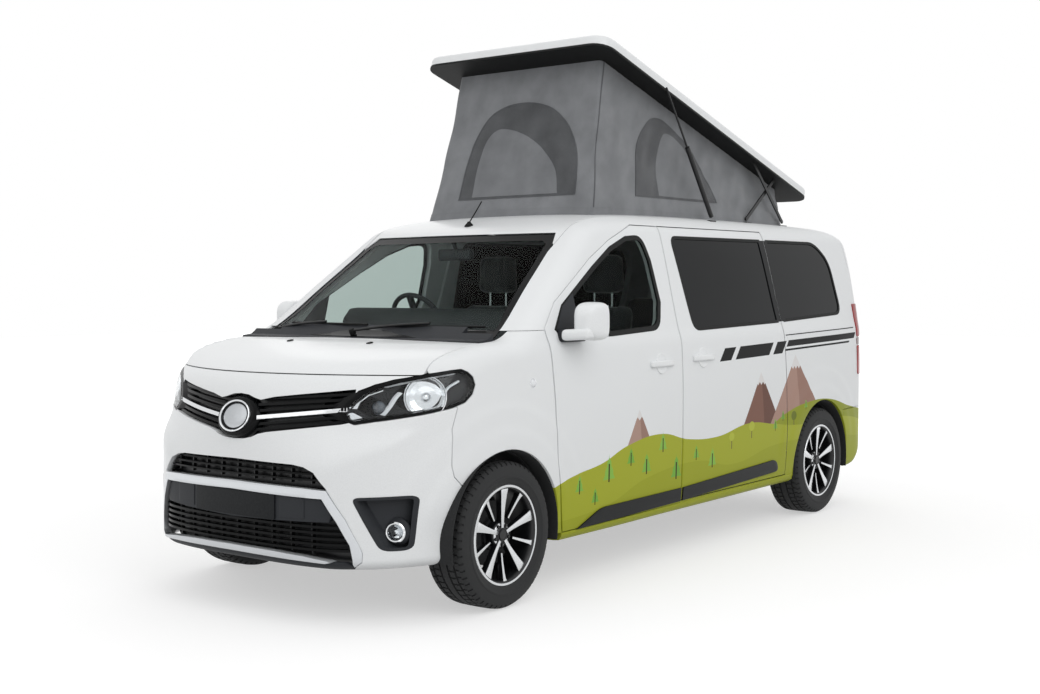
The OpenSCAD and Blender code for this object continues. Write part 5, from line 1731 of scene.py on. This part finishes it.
# feet of the roof's arms and struts, standing on the roof
for x, y in ((-3.3699, 0.603), (-2.9089, 0.589), (-2.3279, 0.66)):
    top = onTop(axleX + x, y)[2]
    lug = block((axleX + x - 0.035, y - 0.016, top - 0.006), (axleX + x + 0.035, y + 0.016, top + 0.003), 0.002)
    pair(lug, coatedSteel, f"foot_plate_{int(-x * 1000)}", vanBodies)
print("small outside parts made")

# interior: padded seats and bench, wheel, dashboard detail, floor


def puff(o, voxel, pressure, cap):
    # remeshed and blown up by cloth, each point held within cap of where it started
    modify(o, "REMESH", mode="VOXEL", voxel_size=voxel)
    start = np.array([v.co for v in o.data.vertices])
    swell = o.modifiers.new("cloth", "CLOTH")
    swell.settings.use_pressure, swell.settings.uniform_pressure_force = True, pressure
    swell.settings.effector_weights.gravity = 0
    swell.settings.quality = 4
    swell.point_cache.frame_start, swell.point_cache.frame_end = 1, 20
    for step in range(1, 21):
        scene.frame_set(step)
    only(o)
    bpy.ops.object.modifier_apply(modifier=swell.name)
    scene.frame_set(1)
    moved = np.array([v.co for v in o.data.vertices]) - start
    far = np.linalg.norm(moved, axis=1)
    moved *= np.minimum(1, cap / np.maximum(far, 1e-9))[:, None]
    for v, q in zip(o.data.vertices, start + moved):
        v.co = q
    modify(o, "SMOOTH", factor=0.5, iterations=4)
    return o


def cushion(low, high, lean=0.0, waist=0.0, wings=0.0, channels=(), grow=0.012):
    # a block with rounded edges, pulled in at its middle, leaned back about its foot, with sewn channels across
    low, high = Vector(low), Vector(high)
    o = block(low, high, min(high - low) * 0.32, 4)
    modify(o, "SUBSURF", levels=2, render_levels=2, subdivision_type="SIMPLE")
    puff(o, 0.011, 4.0, grow)
    middle, half = (low + high) / 2, (high - low) / 2
    tall = half.z > half.x
    for v in o.data.vertices:
        q = Vector(((v.co.x - middle.x) / half.x, (v.co.y - middle.y) / half.y, (v.co.z - middle.z) / half.z))
        along = q.z if tall else q.x
        face = q.x if tall else q.z
        v.co.y = middle.y + (v.co.y - middle.y) * (1 - waist * max(0, along))
        raised = wings * max(0, abs(q.y) - 0.55) * (face > 0)
        groove = sum(0.007 * math.exp(-((along - c) / 0.045) ** 2)
            for c in channels) * max(0, face) * (abs(q.y) < 0.62)
        groove += 0.006 * math.exp(-((abs(q.y) - 0.64) / 0.05) ** 2) * max(0, face)
        if tall:
            v.co.x += raised - groove
            v.co.x -= (v.co.z - low.z) * math.tan(lean)
        else:
            v.co.z += raised - groove
    return o


def soft(o, name):
    finish(o, seatWeave, "van", name, angle=180)


seat = {"x": axleX - 1.13, "y": 0.38, "half": 0.235, "base": 0.52, "top": 0.66, "back": 0.62}
for side, word in sideWords:
    y = side * seat["y"]
    base = cushion((seat["x"] - 0.36, y - seat["half"], seat["base"]),
        (seat["x"] + 0.14, y + seat["half"], seat["top"]), 0.0, 0.06, 0.03, (-0.35, 0.2))
    back = cushion((seat["x"] - 0.36, y - seat["half"] + 0.01, seat["top"] - 0.03),
        (seat["x"] - 0.22, y + seat["half"] - 0.01, 1.36), math.radians(12), 0.12, 0.03, (-0.3, 0.05, 0.4))
    head = cushion((seat["x"] - 0.515, y - 0.125, 1.43), (seat["x"] - 0.42, y + 0.125, 1.64), 0.0, 0.1, 0.0, ())
    soft(base, "seat_base_" + word)
    soft(back, "seat_back_" + word)
    soft(head, "head_rest_" + word)
    for end in (-1, 1):
        tube(f"head_post_{word}_{'in' if end < 0 else 'out'}",
            [(seat["x"] - 0.465, y + end * 0.06, 1.3), (seat["x"] - 0.468, y + end * 0.06, 1.46)], 0.006,
            chromedRod, "van", True)
    stand = block((seat["x"] - 0.34, y - 0.2, 0.43), (seat["x"] + 0.1, y + 0.2, 0.525), 0.02)
    finish(stand, trimPlastic, "van", "seat_stand_" + word,
        ("front_seats",) if side > 0 else ())
benchLow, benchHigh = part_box("rear_bench")
benchMid = (benchLow.y + benchHigh.y) / 2
for i, (y0, y1) in enumerate(((benchLow.y + 0.01, benchMid - 0.006), (benchMid + 0.006, benchHigh.y - 0.01))):
    soft(cushion((benchHigh.x - 0.5, y0, 0.72), (benchHigh.x - 0.015, y1, 0.86), 0.0, 0.0, 0.0, (-0.3, 0.3)),
        f"bench_base_{i}")
    soft(
        cushion((benchHigh.x - 0.5, y0 + 0.005, 0.84), (benchHigh.x - 0.37, y1 - 0.005, 1.39), math.radians(11),
            0.04, 0.0, (-0.3, 0.3)), f"bench_back_{i}")
box = block((benchLow.x + 0.02, benchLow.y + 0.01, 0.432), (benchHigh.x - 0.03, benchHigh.y - 0.01, 0.725),
    0.012)
drawer = block((benchHigh.x - 0.035, benchLow.y + 0.06, 0.47), (benchHigh.x - 0.022, benchHigh.y - 0.06, 0.7),
    0.006)
box = joined([box, drawer], "bench_box")
finish(box, laminateBoard, "van", "bench_box", ("rear_bench",))
print("seats padded")

# padded hood over the instruments, along the foot of the windscreen
hood = prism(
    [(-0.47, 1.17), (-0.5, 1.235), (-0.57, 1.3), (-0.66, 1.345), (-0.73, 1.35), (-0.765, 1.325), (-0.77, 1.27),
        (-0.7, 1.14)], "y", -0.73, 0.73)
cut(hood,
    prism(
        [(-0.44, -0.4), (-0.44, 0.4), (-0.56, 0.66), (-0.68, 0.72), (-0.8, 0.73), (-0.8, -0.73), (-0.68, -0.72),
            (-0.56, -0.66)], "z", 1.0, 1.5), "INTERSECT")
finish(hood, dashSkin, "van", "dash_hood", (), 0.012)
# steering wheel: rim wrapped in hide, hub pad and three spokes
wheelHub = Vector((axleX - 0.88, -0.38, 1.258))
wheelTurn = Matrix.Translation(wheelHub) @ Matrix.Rotation(math.radians(25), 4, "Y")
rimTube = turned("wheel_rim",
    [(0.18 + 0.0135 * math.cos(2 * math.pi * i / 14), 0.0135 * math.sin(2 * math.pi * i / 14))
        for i in range(14)], 72, (1, 0, 0))
pad = turned("wheel_pad",
    [(pole, -0.012), (0.04, -0.01), (0.06, 0.0), (0.068, 0.02), (0.062, 0.05), (pole, 0.055)], 48,
    (1, 0, 0))
spokes = []
for a in (0, 180, 270):
    spoke = block((-0.008, -0.02, 0.05), (0.014, 0.02, 0.178), 0.006)
    spoke.data.transform(Matrix.Rotation(math.radians(a + 90), 4, "X"))
    spokes.append(spoke)
whole = joined([rimTube, pad] + spokes, "steering_wheel_trim")
whole.data.transform(wheelTurn)
finish(whole, dashSkin, "steering_wheel", "steering_wheel_trim", ("steering_wheel",))
column = turned("steering_column",
    [(pole, 0.03), (0.035, 0.03), (0.045, 0.06), (0.048, 0.13), (pole, 0.13)], 40, (1, 0, 0))
column.data.transform(wheelTurn)
finish(column, trimPlastic, "van", "steering_column")

# every CAD node that stays takes its real finish
kept = {
    "floor_pan": floorCoating,
    "cowl_panel": trimPlastic,
    "wheel_arch_liners": linerFelt,
    "engine_block": castIron,
    "fuel_tank": tankPlastic,
    "exhaust": exhaustSteel,
    "front_subframe": underSteel,
    "rear_axle": underSteel,
    "knuckle_left": castIron,
    "knuckle_right": castIron,
    "dashboard": dashSkin,
    "kitchen_unit": laminateBoard}
for node, mat in kept.items():
    dress(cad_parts[node], mat)
print("interior and underside finished")

# dark lips inside the wheel arches
for x, word in ((axleX, "front"), (rearX, "rear")):
    lip = turned("arch_lip",
        [(0.3915, -0.045), (0.3915, 0.045), (0.387, 0.045), (0.384, 0.03), (0.384, -0.045)], 96, (0, 1, 0),
        (x, 0.885, hubHeight))
    cut(lip, block((x - 0.5, 0.7, -0.2), (x + 0.5, 1.1, 0.262)))
    pair(lip, linerFelt, f"arch_lip_{word}", vanBodies)
print("arch lips made")
